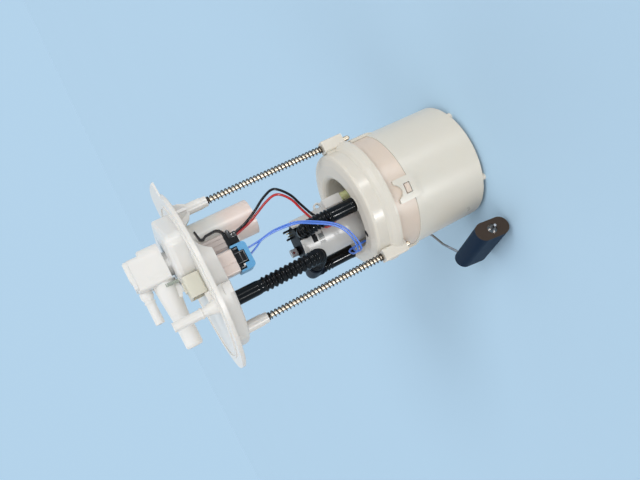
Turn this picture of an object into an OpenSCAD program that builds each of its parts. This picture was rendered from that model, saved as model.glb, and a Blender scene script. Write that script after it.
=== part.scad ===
// In-tank fuel pump module: flange with nozzles, two sprung guide rods, and the reservoir with pump,
// ring filter, hoses, leads and level sender. Millimetres, Z up, feet on Z = 0, front towards -Y.

/* [Reservoir] */
// Outer radius of the reservoir cup at its rim
cup_radius = 44.4; // [43.4:0.1:44.8]
// Wall of the reservoir cup
cup_wall = 2; // [1.7:0.1:2.6]
// Height of the cup from its underside to its rim
cup_height = 57.2; // [53:0.1:62]
// Height of the feet under the cup
foot_height = 2; // [1:0.1:3]
// Radius of each foot
foot_radius = 2.6; // [2:0.1:3.4]
// Distance of the feet from the centre
foot_circle = 41; // [39:0.5:41.5]
// Height of the sleeve that shows between cup and filter ring
neck_height = 17.8; // [16:0.1:22]
// Wall of the sleeve
sleeve_wall = 1.5; // [1.3:0.1:2]
// How far the latches stand proud of the cup
latch_proud = 1.4; // [1.1:0.1:1.5]

/* [Filter ring] */
// Radius of the ring's outer wall
ring_radius = 43; // [42:0.1:43.6]
// Height of the ring from lip to shoulder
ring_height = 17.8; // [16:0.1:20]
// Radius of the lip at the foot of the ring
lip_radius = 47.8; // [47.2:0.1:48.6]
// Radius of the opening that the pump stands in
opening_radius = 27.2; // [26.6:0.1:28]
// Wall of the filter ring
ring_wall = 1.7; // [1.4:0.1:2.2]

/* [Guide rods] */
// Radius of each guide rod
rod_radius = 1.5; // [1.3:0.05:1.6]
// Radial clearance of a rod in its lug
rod_clearance = 0.08; // [0.04:0.01:0.1]
// Distance of the left rod's axis from the cup's wall
rod_gap = 2.05; // [2:0.05:2.6]
// Half width of the lug round each rod
lug_half = 4.4; // [4:0.1:5]
// Length of a rod below its lug
rod_end = 4.4; // [3.5:0.1:6]
// Radius of the springs to the middle of the wire
coil_radius = 2.35; // [2.2:0.05:2.6]
// Radius of the spring wire
coil_wire = 0.42; // [0.35:0.01:0.48]
// Turns of each spring
coil_turns = 34; // [28:1:36]

/* [Flange] */
// Height of the flange's upper face above the ground
module_height = 212; // [206:0.5:220]
// Radius of the flange
flange_radius = 64.5; // [63:0.5:68]
// Thickness of the flange plate
flange_thick = 2.5; // [2:0.1:3.2]
// Radius of the skirt that enters the tank opening
skirt_radius = 51.5; // [51:0.1:52.5]
// Depth of the skirt below the plate
skirt_depth = 10.5; // [9:0.5:12]
// Wall of the skirt
skirt_wall = 2; // [1.6:0.1:2.4]
// Height of the raised land that presses on the tank's seal
land_height = 0.5; // [0.3:0.1:1]
// Space between the skirt and that land
land_gap = 5; // [4.8:0.1:6]
// Length of each rod socket below the plate
socket_length = 25.7; // [23:0.1:28]
// Outer radius of each rod socket
socket_radius = 3.7; // [3.3:0.1:4.2]

/* [Nozzles] */
// Outer radius of the feed post and the purge nozzle
small_nozzle = 3.15; // [2.9:0.05:3.3]
// Outer radius of the vapour nozzle
large_nozzle = 5.9; // [5.6:0.05:6.2]
// Wall of the nozzles
nozzle_wall = 1.1; // [0.9:0.05:1.3]
// Height of the feed post above the flange
post_height = 29; // [27:0.5:31]
// Length of the vapour nozzle from its root
large_length = 34.5; // [30:0.5:36]
// Length of the purge nozzle from the tower
small_length = 22.5; // [20:0.5:25]

/* [Vapour valve] */
// Height of the vapour chamber above the flange
chamber_height = 11.6; // [11:0.1:13]
// Outer radius of the valve tube in the tank
tube_radius = 12.6; // [12:0.1:12.8]
// Wall of the valve tube
tube_wall = 1.5; // [1.2:0.1:1.8]
// Length of the valve tube below the plate
tube_length = 50.5; // [46:0.5:54]
// Travel of the valve float
valve_travel = 5; // [4:0.5:6]

/* [Plugs] */
// Width of the sender header
header_width = 16; // [15.5:0.1:17]
// Depth of the headers below the plate
header_depth = 21.3; // [20:0.1:23]
// Wall of the headers
header_wall = 1.3; // [1.1:0.1:1.6]
// Width of the pump header
pump_header_width = 11; // [10.4:0.1:11.4]
// Height of the sender plug with its lock frame
plug_height = 10.2; // [9:0.1:12]
// Clearance between a plug and its header
plug_clearance = 0.2; // [0.1:0.05:0.3]

/* [Pump] */
// Outer radius of the pump holder
holder_radius = 17.4; // [17.2:0.1:17.6]
// Wall of the pump holder
holder_wall = 1.6; // [1.3:0.1:1.8]
// Height of the holder above the filter ring
holder_rise = 39.2; // [37:0.1:41]
// Radial gap between pump and holder
pump_gap = 0.5; // [0.3:0.05:0.7]
// Length of the pump body
pump_length = 72; // [68:0.5:75]
// Radius of the motor shaft
shaft_radius = 1.6; // [1.3:0.1:1.9]
// Radial clearance of the shaft in its bearings
shaft_clearance = 0.05; // [0.03:0.01:0.1]
// Blades of the pump wheel
blade_count = 24; // [16:1:30]

/* [Level sender] */
// Radius of the float wire
wire_radius = 1; // [0.9:0.05:1.1]
// Reach of the arm from its pivot to the float
arm_reach = 67.5; // [65:0.5:70]
// Height of the arm's pivot above the ground
pivot_height = 34; // [32:0.5:37]
// Radius of the pivot pin
pivot_radius = 2.4; // [2:0.1:2.8]
// Clearance of the pivot
pivot_clearance = 0.06; // [0.03:0.01:0.1]
// Length of the float
float_length = 49.3; // [44:0.1:50]
// Height of the float's section
float_height = 26.6; // [24:0.1:28]
// Thickness of the float's section
float_thick = 14; // [12:0.1:14.6]

/* [Hoses] */
// Outer radius of the feed hose
feed_radius = 4.8; // [4.4:0.1:5]
// Outer radius of the two hoses at the reservoir
hose_radius = 5.2; // [5:0.1:5.5]
// Radius of the pump's two leads
lead_radius = 0.9; // [0.8:0.05:1.2]
// Radius of the level sender's two leads
sender_lead = 0.65; // [0.55:0.05:0.9]

/* [Hidden] */
$fn = 96;
play = 0.05;
cup_base = foot_height;
cup_rim = cup_base + cup_height;
lip_z = cup_rim + neck_height;
ring_top = lip_z + ring_height;
flange_low = module_height - flange_thick;
gap = flange_low - ring_top;
opening_at = [-1.5, 3.5];
rod_left = (cup_radius + rod_gap) * [cos(202.8), sin(202.8)];
rod_right = (cup_radius + rod_gap + 1.55) * [cos(-17), sin(-17)];
rods = [rod_left, rod_right];
lug_top = ring_top - 2.3;
lug_low = lip_z - 3;
lug_lows = [lug_low, lug_low + 1.8];
rod_low = lug_low - rod_end;
flare_radius = rod_radius + 0.3;
socket_low = flange_low - socket_length;
sleeve_radius = cup_radius - 0.7;
latch_angles = [-103, -13, 77, 167];
feet_angles = [-128.5, -53.6, 53.6, 128.5];
holder_at = [-5.7, 6.5];
holder_top = ring_top + holder_rise;
holder_low = 50;
can_radius = holder_radius - holder_wall - pump_gap;
can_low = holder_top - pump_length;
head_radius = can_radius - 1.5;
guard_top = holder_top + 3.6;
front_at = [-1.8, -25.6];
outlet_at = [-26.6, 24.3];
feed_at = [-24.3, -36.3];
post_at = [-23.4, -40.5];
chamber_top = module_height + chamber_height;
tube_at = [25.5, -3];
tower_at = [20.2, -3];
tower_low = chamber_top + 2.6;
large_z = chamber_top + 8.9;
small_z = chamber_top + 22.3;
header_at = [-2.3, -32.6];
header_low = flange_low - header_depth;
header_deep = 11;
grey_at = [13.2, -21.9];
grey_deep = 10.2;
grey_low = header_low - 0.9;
plug_low = header_low - plug_height;
sender_turn = 13.2;
arm_plane = 52;
riser_at = [9.6, -8.4];
sender_ways = [-3.4, 1.7];
pump_ways = [[15, -20.6], [16.2, -23.4]];
float_drop = 18.6;

// A point at a share h of the gap between filter ring and flange, counted as at the drawn height
function up(x, y, h) = [x, y, ring_top + h * gap / 114.7];
function unit(v) = v / norm(v);
// Points of a smooth line through p, with k steps between two of them
function knot(p, i) = p[max(0, min(len(p) - 1, i))];
function spline(a, b, c, d, t) = 0.5 * (2 * b + (c - a) * t + (2 * a - 5 * b + 4 * c - d) * t * t
    + (3 * b - a - 3 * c + d) * t * t * t);
function smooth(p, k) = concat([for (i = [0:len(p) - 2]) for (j = [0:k - 1])
    spline(knot(p, i - 1), p[i], p[i + 1], knot(p, i + 2), j / k)], [p[len(p) - 1]]);
function heading(p, i) = unit(knot(p, i + 1) - knot(p, i - 1));

// A round bar of radius r along the line p, with n sides; side is never along the line
module sweep(p, r, n = 8, side = [1, 0, 0]) {
    rings = [for (i = [0:len(p) - 1]) let (t = heading(p, i), a = unit(cross(t, side)), b = cross(t, a))
        for (j = [0:n - 1]) p[i] + r * (cos(360 * j / n) * a + sin(360 * j / n) * b)];
    m = len(p) - 1;
    skin = [for (i = [0:m - 1]) for (j = [0:n - 1]) let (k = (j + 1) % n)
        [i * n + j, (i + 1) * n + j, (i + 1) * n + k, i * n + k]];
    polyhedron(rings, concat([[for (j = [0:n - 1]) j]], skin, [[for (j = [0:n - 1]) m * n + n - 1 - j]]));
}

module at(p, z = 0) { translate([p[0], p[1], z]) children(); }

// A square with round corners, on its centre
module round_rect(x, y, r) {
    square([x - 2 * r, y], center = true);
    square([x, y - 2 * r], center = true);
    for (i = [-1, 1]) for (j = [-1, 1]) translate([i * (x / 2 - r), j * (y / 2 - r)]) circle(r, $fn = 32);
}

// Part of a ring between two angles, as an outline; spans under 180 degrees
module sector(r0, r1, a0, a1) {
    far = 2 * r1;
    mid = (a0 + a1) / 2;
    intersection() {
        difference() {
            circle(r1);
            circle(r0);
        }
        polygon([[0, 0], far * [cos(a0), sin(a0)], far * [cos(mid), sin(mid)], far * [cos(a1), sin(a1)]]);
    }
}

// The flange: plate with locating tab, skirt, rod sockets, feed post and spigot, in one moulding
module flange_cover() {
    low = flange_low;
    color([0.93, 0.94, 0.93]) difference() {
        union() {
            at([0, 0], low) cylinder(r = flange_radius, h = flange_thick);
            at([0, 0], module_height - 1.3) linear_extrude(1.3) locating_tab();
            // sealing land under the rim, outside the cones of the rod sockets
            at([0, 0], low - land_height) difference() {
                cylinder(r = flange_radius - 1, h = land_height + 1);
                translate([0, 0, -1]) cylinder(r = skirt_radius + land_gap, h = land_height + 3);
            }
            // a low rib runs round the plate's upper face
            at([0, 0], module_height - play) difference() {
                cylinder(r = skirt_radius + 5, h = 0.8);
                translate([0, 0, -1]) cylinder(r = skirt_radius + 3.8, h = 3);
            }
            skirt();
            socket(rods[0]);
            socket(rods[1]);
            // web that ties the right socket to the skirt's end
            translate([rods[1][0], rods[1][1] - 3, 0]) rotate([90, 0, 0]) mirror([0, 0, 1]) linear_extrude(6)
                polygon([[-3.4, low - 11.8], [-6.6, low - 9.9], [-10.3, low - 5.2], [-11.4, low + 1],
                    [6.4, low + 1], [6.2, low - 2.5], [5.4, low - 7.2], [3.6, low - 11.2]]);
            // feed post with its foot and its bead
            at(post_at, module_height - 1) cylinder(r = small_nozzle, h = post_height + 1);
            at(post_at, module_height - play) cylinder(r1 = small_nozzle + 1.8, r2 = small_nozzle, h = 7);
            at(post_at, module_height + 9.3) cylinder(r1 = small_nozzle, r2 = small_nozzle + 0.6, h = 0.8);
            at(post_at, module_height + 10.1) cylinder(r = small_nozzle + 0.6, h = 0.8);
            at(feed_at, low - 8) cylinder(r = feed_radius, h = 8 + 1);
            // tray that carries the outer connector
            translate([-15.6, -28.6, module_height - play]) linear_extrude(3) round_rect(7.2, 17, 1);
        }
        for (r = rods) at(r, socket_low - 1) cylinder(r = rod_radius + play, h = socket_length - 3);
        at(post_at, low - 6) cylinder(r = small_nozzle - nozzle_wall, h = post_height + 20);
        at(feed_at, low - 9) cylinder(r = small_nozzle - nozzle_wall, h = 6);
        // way from the post to the spigot inside the plate
        translate([feed_at[0], (feed_at[1] + post_at[1]) / 2, low - 4.5]) linear_extrude(3)
            square([3, abs(feed_at[1] - post_at[1]) + 3], center = true);
        at(tube_at, low - 1) cylinder(r = tube_radius - tube_wall, h = flange_thick + 2);
        at(tube_at, low - 60) cylinder(r = tube_radius + 0.3, h = 60);
        // openings for the terminals of the two inner headers and the outer connector
        at(header_at, low - 1) linear_extrude(flange_thick + 2) square([11, 4], center = true);
        at(grey_at, low - 1) linear_extrude(flange_thick + 2) square([6, 3], center = true);
    }
}

// The tab that sets the flange's angle in the tank opening
module locating_tab() {
    r = flange_radius;
    polygon([[r - 8, -27.8], [r - 2.5, -25.6], [r + 5.4, -22.7], [r + 8.4, -10], [r + 10.4, 2.8],
        [r + 11.2, 12], [r + 10.8, 20], [r + 8, 26.3], [r + 1, 29.4], [r - 9, 30]]);
}

// Skirt under the plate; it is cut away at the front right, where the plugs go on
module skirt() {
    z0 = flange_low - skirt_depth;
    difference() {
        at([0, 0], z0) rotate_extrude() polygon([[skirt_radius - skirt_wall, 0], [skirt_radius - 1.6, 0],
            [skirt_radius - 0.5, 1], [skirt_radius, 3], [skirt_radius, skirt_depth + 1],
            [skirt_radius - skirt_wall, skirt_depth + 1]]);
        at([0, 0], z0 - 1) linear_extrude(skirt_depth + 1) polygon([[0, 0], 90 * [cos(-105), sin(-105)],
            90 * [cos(-65), sin(-65)], 90 * [cos(-27), sin(-27)]]);
    }
    // inner wall behind the cut, whose foot climbs to the right
    intersection() {
        at([0, 0], z0) linear_extrude(skirt_depth + 1) sector(skirt_radius - 7, skirt_radius - 5, -106, -55);
        translate([0, -20, z0]) rotate([90, 0, 0]) linear_extrude(40) difference() {
            translate([-16, 0]) square([50, skirt_depth + 1]);
            translate([24, -7.2]) circle(15.5);
            translate([24, -16]) square([30, 24.3]);
        }
    }
    // catch on the end of the skirt
    at([0, 0], z0 + 0.8) linear_extrude(5.2) sector(skirt_radius - 1, skirt_radius + 0.9, -113, -105.6);
}

// A socket for one guide rod, on a cone under the plate
module socket(p) {
    at(p, socket_low) cylinder(r = socket_radius, h = socket_length + 1);
    at(p, socket_low + 4) cylinder(r = socket_radius + 0.35, h = socket_length - 3);
    at(p, flange_low - 11) cylinder(r1 = socket_radius, r2 = socket_radius + 4.4, h = 11 + play);
}

// Chamber on the flange that joins the valve tube, the tower and the nozzles
module vapour_chamber() {
    // plan of each corner, its vertical edge's radius and the round of its top edge
    corners = [[38.4, 26, 1.6], [41.8, -15, 1.6], [24, -43, 3.4], [9, -29, 3.6], [7, 22, 3.2]];
    h = chamber_height;
    color([0.95, 0.95, 0.93]) difference() {
        hull() {
            for (p = corners) {
                at(p, module_height) cylinder(r = 6, h = h - p[2], $fn = 32);
                at(p, chamber_top - p[2]) cylinder(r1 = 6, r2 = 6 - p[2] * 0.3, h = p[2] * 0.6, $fn = 32);
                at(p, chamber_top - p[2] * 0.4)
                    cylinder(r1 = 6 - p[2] * 0.3, r2 = 6 - p[2], h = p[2] * 0.4, $fn = 32);
            }
        }
        at(tube_at, module_height - 1) cylinder(r = tube_radius - tube_wall, h = h - 1);
        translate([15, 12, module_height - 1]) cylinder(r = 9, h = h - 1);
    }
}

// Valve tower over the chamber, with the vapour nozzle and the purge nozzle
module valve_tower() {
    top = chamber_top + 24.6;
    x0 = tower_at[0] - 11.6;
    color([0.94, 0.94, 0.94]) difference() {
        union() {
            at(tower_at + [0.2, 0], tower_low) linear_extrude(top - tower_low) round_rect(23.2, 21, 3);
            at(tower_at + [1.9, 0], tower_low) linear_extrude(13.6) round_rect(27.2, 22.4, 8);
            at(tower_at + [1.9, 0], tower_low + 13.6 - play) linear_extrude(0.9) round_rect(25.8, 21.4, 7.4);
            at(tower_at, chamber_top) cylinder(r = 8.6, h = 3.6);
            at(tower_at + [-0.8, -5.4], chamber_top) cylinder(r = 4.4, h = 3.6);
            // root of the vapour nozzle, a cone closed by a foot on the chamber
            translate([x0 + 1, tower_at[1], large_z]) rotate([0, -90, 0])
                cylinder(r1 = large_nozzle + 2.2, r2 = large_nozzle, h = 26);
            translate([x0 - 13, tower_at[1] + 5, 0]) rotate([90, 0, 0]) linear_extrude(10)
                polygon([[0, large_z - 5], [-0.2, large_z - 7], [4, large_z - 8.7],
                    [11.4, chamber_top + play], [11.4, large_z]]);
            translate([x0 - 2, tower_at[1] - 5, large_z - 0.4]) cube([4, 10, 8]);
            translate([x0 - 10, tower_at[1], large_z]) rotate([0, -90, 0]) large_end();
            translate([x0 + 0.5, tower_at[1], small_z]) rotate([0, -90, 0]) small_end();
        }
        // ways for the vapour
        translate([x0 + 3, tower_at[1], large_z]) rotate([0, -90, 0])
            cylinder(r = large_nozzle - nozzle_wall - 0.5, h = large_length + 20);
        translate([x0 + 6, tower_at[1], small_z]) rotate([0, -90, 0])
            cylinder(r = small_nozzle - nozzle_wall, h = small_length + 20);
        at(tower_at + [2, 0], chamber_top - 1) cylinder(r = 5.5, h = 22);
    }
}

module large_end() {
    cylinder(r = large_nozzle, h = large_length);
    translate([0, 0, large_length - play]) cylinder(r1 = large_nozzle, r2 = large_nozzle - 0.9, h = 1.4);
    translate([0, 0, large_length - 15.6]) cylinder(r = large_nozzle + 0.45, h = 1);
}

module small_end() {
    cylinder(r = small_nozzle + 1.2, h = 3.5);
    translate([0, 0, 3.5 - play]) cylinder(r1 = small_nozzle + 1.2, r2 = small_nozzle, h = 2.6);
    cylinder(r = small_nozzle, h = small_length + 0.5);
    translate([0, 0, 6.9]) cylinder(r = small_nozzle + 0.55, h = 1);
}

// Welded cap that closes the tower
module tower_cap() {
    z0 = chamber_top + 24.6;
    color([0.95, 0.95, 0.95]) difference() {
        union() {
            at(tower_at + [1.4, 0], z0 + play) linear_extrude(2.6) round_rect(20.4, 19, 2.6);
            at(tower_at - [7.4, 0], z0 + play) linear_extrude(1.2) round_rect(7.4, 15, 2);
            at(tower_at + [4.6, 0], z0 + 2.6) linear_extrude(0.8) round_rect(13.6, 15, 2.4);
        }
        at(tower_at + [4.6, 0], z0 + 2.4) linear_extrude(2) round_rect(10, 11.4, 1.8);
    }
}

// Shell of the outer connector; its mouth faces away from the tower
module outer_connector() {
    color([0.93, 0.91, 0.80]) difference() {
        union() {
            translate([-12, -28.6, module_height + 5.6 + play]) rotate([0, 90, 0]) linear_extrude(14.4)
                round_rect(11.2, 18, 1.6);
            translate([-7, -31.6, module_height + 11]) cube([7, 6, 1.4]);
        }
        translate([-13, -28.6, module_height + 5.6 + play]) rotate([0, 90, 0]) linear_extrude(12)
            round_rect(11.2 - 2 * header_wall, 18 - 2 * header_wall, 1);
        for (i = [-2:2]) translate([-6, -28.95 + i * 2.8 - play, module_height + 5.2 - play])
            cube([7 + play, 0.7 + 2 * play, 0.8 + 2 * play]);
    }
}

module outer_terminals() {
    color([0.80, 0.66, 0.36]) for (i = [-2:2])
        translate([-6, -28.6 + i * 2.8 - 0.35, module_height + 5.2]) cube([7 - play, 0.7, 0.8]);
}

// Tube of the vapour valve inside the tank
module valve_tube() {
    z0 = flange_low - tube_length;
    color([0.94, 0.92, 0.90]) difference() {
        at(tube_at, z0) cylinder(r = tube_radius, h = tube_length - play);
        at(tube_at, z0 - 1) cylinder(r = tube_radius - tube_wall, h = tube_length - 5);
        // seat that the float's point closes
        at(tube_at, z0) cylinder(r = 4, h = tube_length + 1);
        // slots let the fuel in
        for (a = [30, 150, 270]) at(tube_at, z0 + 30) rotate([0, 0, a + 90]) translate([tube_radius, 0, 3])
            cube([6, 2.4, 8], center = true);
    }
}

// Float with the valve's point on it
module valve_float() {
    z0 = flange_low - tube_length + 9;
    r = tube_radius - tube_wall - 0.6;
    h = tube_length - 15.7 - valve_travel;
    color([0.82, 0.84, 0.85]) difference() {
        union() {
            at(tube_at, z0) cylinder(r = r, h = h);
            at(tube_at, z0 + h - play) cylinder(r1 = 4.6, r2 = 1, h = 4);
        }
        at(tube_at, z0 - 1) cylinder(r = r - 2.4, h = 9);
    }
}

module valve_spring() {
    z0 = flange_low - tube_length + 2.1;
    color([0.62, 0.62, 0.60]) at(tube_at, z0) coil(4.4, 0.3, 14.8, 6, 10);
}

// Cap with drain holes that carries the valve's spring
module valve_tube_cap() {
    z0 = flange_low - tube_length;
    r = tube_radius - tube_wall - play;
    color([0.90, 0.88, 0.86]) difference() {
        union() {
            at(tube_at, z0) cylinder(r = r, h = 2);
            at(tube_at, z0) cylinder(r = 2.6, h = 5);
        }
        for (a = [0:60:300])
            at(tube_at, z0 - 1) rotate([0, 0, a]) translate([r * 0.68, 0]) cylinder(r = 1.4, h = 4);
    }
}

// Header for the sender's plug: a shroud open below, with a keyed rib in front
module sender_header() {
    color([0.93, 0.88, 0.85]) difference() {
        union() {
            at(header_at, header_low) linear_extrude(header_depth - play)
                round_rect(header_width, header_deep, 1.6);
            at(header_at - [1, header_deep / 2 + 0.7], header_low) cube([2, 1.6, 11]);
            at(header_at, flange_low - 4) linear_extrude(4 - play)
                round_rect(header_width + 1.6, header_deep + 1.6, 2);
        }
        at(header_at, header_low - 1) linear_extrude(14)
            round_rect(header_width - 2 * header_wall, header_deep - 2 * header_wall, 1);
        at(header_at, header_low) linear_extrude(header_depth + 1) square([9.4, 1.4], center = true);
    }
}

module header_terminals() {
    color([0.80, 0.66, 0.36]) for (i = [-1.5:1.5])
        at(header_at + [i * 2.6 - 0.4, -0.4], header_low + 5) cube([0.8, 0.8, header_depth - 5]);
}

// Plug of the sender's leads, held by the lock frame
module sender_plug() {
    w = header_width - 2 * header_wall - 2 * plug_clearance;
    d = header_deep - 2 * header_wall - 2 * plug_clearance;
    color([0.10, 0.10, 0.11]) difference() {
        union() {
            at(header_at, plug_low + 1.6) linear_extrude(plug_height + 2.6) round_rect(w, d, 0.9);
            at(header_at, header_low - 2.4) linear_extrude(2.2)
                round_rect(header_width - 0.4, header_deep - 0.4, 1.2);
            at(header_at - [3.4, header_deep / 2 + 0.5], header_low - 6.8) cube([6.2, 3, 5]);
        }
        for (i = [-1.5:1.5]) at(header_at + [i * 2.6, 0], header_low + 1) cube([1.6, 1.8, 14], center = true);
        for (x = sender_ways) at([x, header_at[1]], plug_low) cylinder(r = sender_lead + 0.25, h = 4);
    }
}

// Lock frame: a tray round the plug with a stepped cut in its front wall
module plug_lock_frame() {
    w = header_width + 2.2;
    d = header_deep + 2.2;
    h = plug_height - 0.1;
    x = header_at[0];
    y = header_at[1];
    color([0.36, 0.68, 0.84]) difference() {
        // front outline with round lower corners, carried back over the depth
        translate([x, y + d / 2, plug_low]) rotate([90, 0, 0]) linear_extrude(d) union() {
            translate([-w / 2, 2.6]) square([w, h - 2.6]);
            translate([2.6 - w / 2, 0]) square([w - 5.2, 4]);
            for (i = [-1, 1]) translate([i * (w / 2 - 2.6), 2.6]) circle(2.6);
        }
        at(header_at, plug_low + 1.4) linear_extrude(plug_height) round_rect(w - 2.4, d - 2.4, 1);
        at(header_at, plug_low - 1) linear_extrude(4) round_rect(13, 6, 1);
        translate([x - 7.9, y - d / 2 - 1, header_low - 4.2]) cube([15.6, 4, 6]);
        translate([x - 4.6, y - d / 2 - 1, header_low - 7.3]) cube([8.6, 4, 6]);
    }
}

// Grey header for the pump's plug, with ribs down its front
module pump_header() {
    w = pump_header_width;
    color([0.66, 0.64, 0.63]) difference() {
        union() {
            at(grey_at, grey_low) linear_extrude(flange_low - grey_low - play) round_rect(w, grey_deep, 1.4);
            for (i = [-1:1]) at(grey_at + [i * 3.3 - 0.5, -grey_deep / 2 - 0.6], grey_low) cube([1, 1.4, 15]);
        }
        at(grey_at, grey_low - 1) linear_extrude(13)
            round_rect(w - 2 * header_wall, grey_deep - 2 * header_wall, 0.8);
        at(grey_at, grey_low) linear_extrude(30) square([4.4, 1.4], center = true);
    }
}

module pump_header_terminals() {
    color([0.80, 0.66, 0.36]) for (i = [-1, 1])
        at(grey_at + [i * 1.6 - 0.4, -0.4], grey_low + 5) cube([0.8, 0.8, flange_low - grey_low - 5]);
}

// Plug of the pump's leads
module pump_plug() {
    w = pump_header_width - 2 * header_wall - 2 * plug_clearance;
    d = grey_deep - 2 * header_wall - 2 * plug_clearance;
    color([0.09, 0.09, 0.10]) difference() {
        union() {
            at(grey_at, grey_low - 9) linear_extrude(18) round_rect(w, d, 0.8);
            at(grey_at - [0.6, 0], grey_low - 2) linear_extrude(1.9)
                round_rect(pump_header_width + 0.6, grey_deep + 0.6, 1.2);
            // foot of the lock lever, at the plug's side
            at(grey_at + [pump_header_width / 2 - 1.6, -3.6], grey_low - 2.3) cube([2.4 - play, 3.2, 1.5]);
        }
        for (i = [-1, 1]) at(grey_at + [i * 1.6, 0], grey_low) cube([1.4, 1.6, 20], center = true);
        for (w = pump_ways) at(w, grey_low - 10) cylinder(r = lead_radius + 0.25, h = 4);
    }
}

// Bent lever that hooks the pump's plug to its header
module lock_lever() {
    x = grey_at[0] + pump_header_width / 2;
    color([0.12, 0.12, 0.13]) translate([x, grey_at[1] - 3.6, grey_low]) rotate([90, 0, 0]) mirror([0, 0, 1])
        linear_extrude(3.2) polygon([[0.8, -2.4], [3.4, -0.6], [4.5, 1.6], [4.6, 3], [4.1, 9.6], [2.8, 12],
            [3.3, 13.1], [9.3, 14.2], [9.1, 15.4], [2.4, 14.4], [1.3, 12.8], [1.3, 11.4], [2.8, 9], [3.3, 3],
            [3.1, 2], [2.4, 0.5], [0.8, -0.7]]);
}

// Soft boot where the pump's leads leave the plug
module wire_boot() {
    x = grey_at[0];
    w = pump_header_width - 2 * header_wall - 2 * plug_clearance;
    color([0.25, 0.25, 0.26]) difference() {
        translate([x, grey_at[1] + 4.4, grey_low]) rotate([90, 0, 0]) linear_extrude(8.8)
            polygon([[0.2, -9.6], [3.2, -9.6], [5.4, -6.4], [6.6, -4.6], [6.6, -2.4], [0.2, -2.4]]);
        at(grey_at, grey_low - 9 - play) linear_extrude(8)
            round_rect(w + 2 * play, grey_deep - 2 * header_wall, 0.8);
        for (w = pump_ways) at(w, grey_low - 13) cylinder(r = lead_radius + 0.25, h = 10);
    }
}

// The two guide rods, each with a rolled end below its lug
module guide_rods() {
    color([0.66, 0.60, 0.48]) for (i = [0, 1]) {
        at(rods[i], lug_low - 1) cylinder(r = rod_radius, h = flange_low - lug_low - 4);
        at(rods[i], rod_low) cylinder(r1 = rod_radius - 0.5, r2 = flare_radius, h = 1.2);
        at(rods[i], rod_low + 1.2 - play) cylinder(r = flare_radius, h = lug_lows[i] - rod_low - 1.3);
    }
}

// A wire spring of n turns; its end turns lie close. Steps round a turn: k
module coil(r, w, h, n, k = 8) {
    ends = 1.25;
    close = 2.3 * w;
    free = (h - 2 * w - 2 * close * ends) / (n - 2 * ends);
    function height(t) = w + (t < ends ? close * t : t > n - ends ? h - 2 * w - close * (n - t)
        : close * ends + free * (t - ends));
    line = [for (i = [0:n * k]) [r * cos(360 * i / k), r * sin(360 * i / k), height(i / k)]];
    sweep(line, w, 5, [0, 0, 1]);
}

module rod_spring(p) {
    color([0.62, 0.57, 0.46]) at(p, lug_top + play)
        coil(coil_radius, coil_wire, socket_low - lug_top - 2 * play, coil_turns);
}

module spring_left() { rod_spring(rods[0]); }

module spring_right() { rod_spring(rods[1]); }

// Reservoir cup with latch tongues, feet and inlet hole
module reservoir_cup() {
    inner = cup_radius - cup_wall;
    z0 = cup_base;
    color([0.95, 0.94, 0.90]) difference() {
        union() {
            at([0, 0], z0) rotate_extrude() polygon([[0, 0], [cup_radius - 1.2, 0], [cup_radius - 0.3, 0.9],
                [cup_radius, cup_height], [inner, cup_height], [inner - 0.3, 2.2], [0, 2.2]]);
            for (a = feet_angles)
                at(foot_circle * [cos(a), sin(a)]) cylinder(r = foot_radius, h = foot_height + 1);
            for (a = latch_angles) rotate([0, 0, a]) latch();
            // stubs that hold the inlet off the tank floor and carry the strainer
            for (a = [0, 140, 260]) at(21 * [cos(a), sin(a)], z0 + 1) cylinder(r = 2, h = 4 - play);
        }
        at([16, 14], z0 - 1) cylinder(r = 2.2, h = 5);
        for (a = [0:60:300]) at([16, 14] + 4.6 * [cos(a), sin(a)], z0 - 1) cylinder(r = 1, h = 5);
        // two rivet holes of the level sender
        for (i = [-1, 1]) rotate([0, 0, sender_turn]) translate([i * 8, cup_radius + 3, z0 + 14])
            rotate([90, 0, 0]) cylinder(r = 1.1, h = 10);
    }
}

// One latch tongue, drawn at angle 0: two posts over a window
module latch() {
    r0 = sleeve_radius + 0.15;
    r1 = cup_radius + latch_proud;
    low = cup_rim - 3;
    difference() {
        union() {
            at([0, 0], low) linear_extrude(15.4) sector(r0, r1, -10.6, 10.6);
            at([0, 0], low - 2.4) linear_extrude(2.6) sector(cup_radius - 1, r1 - 0.7, -10.2, 10.2);
        }
        at([0, 0], cup_rim + 1) linear_extrude(5) sector(r0 - 1, r1 + 1, -4.7, 4.7);
        // curved dip between the posts
        translate([r0 - 2, 0, cup_rim + 13.6]) rotate([0, 90, 0]) cylinder(r = 5.4, h = 6);
    }
}

// Sleeve that seats in the cup and carries the barbs of the latches
module inner_sleeve() {
    r = sleeve_radius;
    low = cup_radius - cup_wall - 0.2;
    color([0.92, 0.87, 0.81]) difference() {
        union() {
            at([0, 0], cup_rim - 10) rotate_extrude() polygon([[low - sleeve_wall, 0], [low, 0],
                [low, 10 + play], [r, 10 + play], [r, 10 + neck_height + 0.9],
                [r - sleeve_wall, 10 + neck_height + 0.9], [r - sleeve_wall, 12], [low - sleeve_wall, 9]]);
            for (a = latch_angles) rotate([0, 0, a]) at([0, 0], cup_rim + 1.5) linear_extrude(3.6)
                sector(r - 0.5, cup_radius + latch_proud - 0.4, -4.1, 4.1);
        }
    }
}

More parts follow.
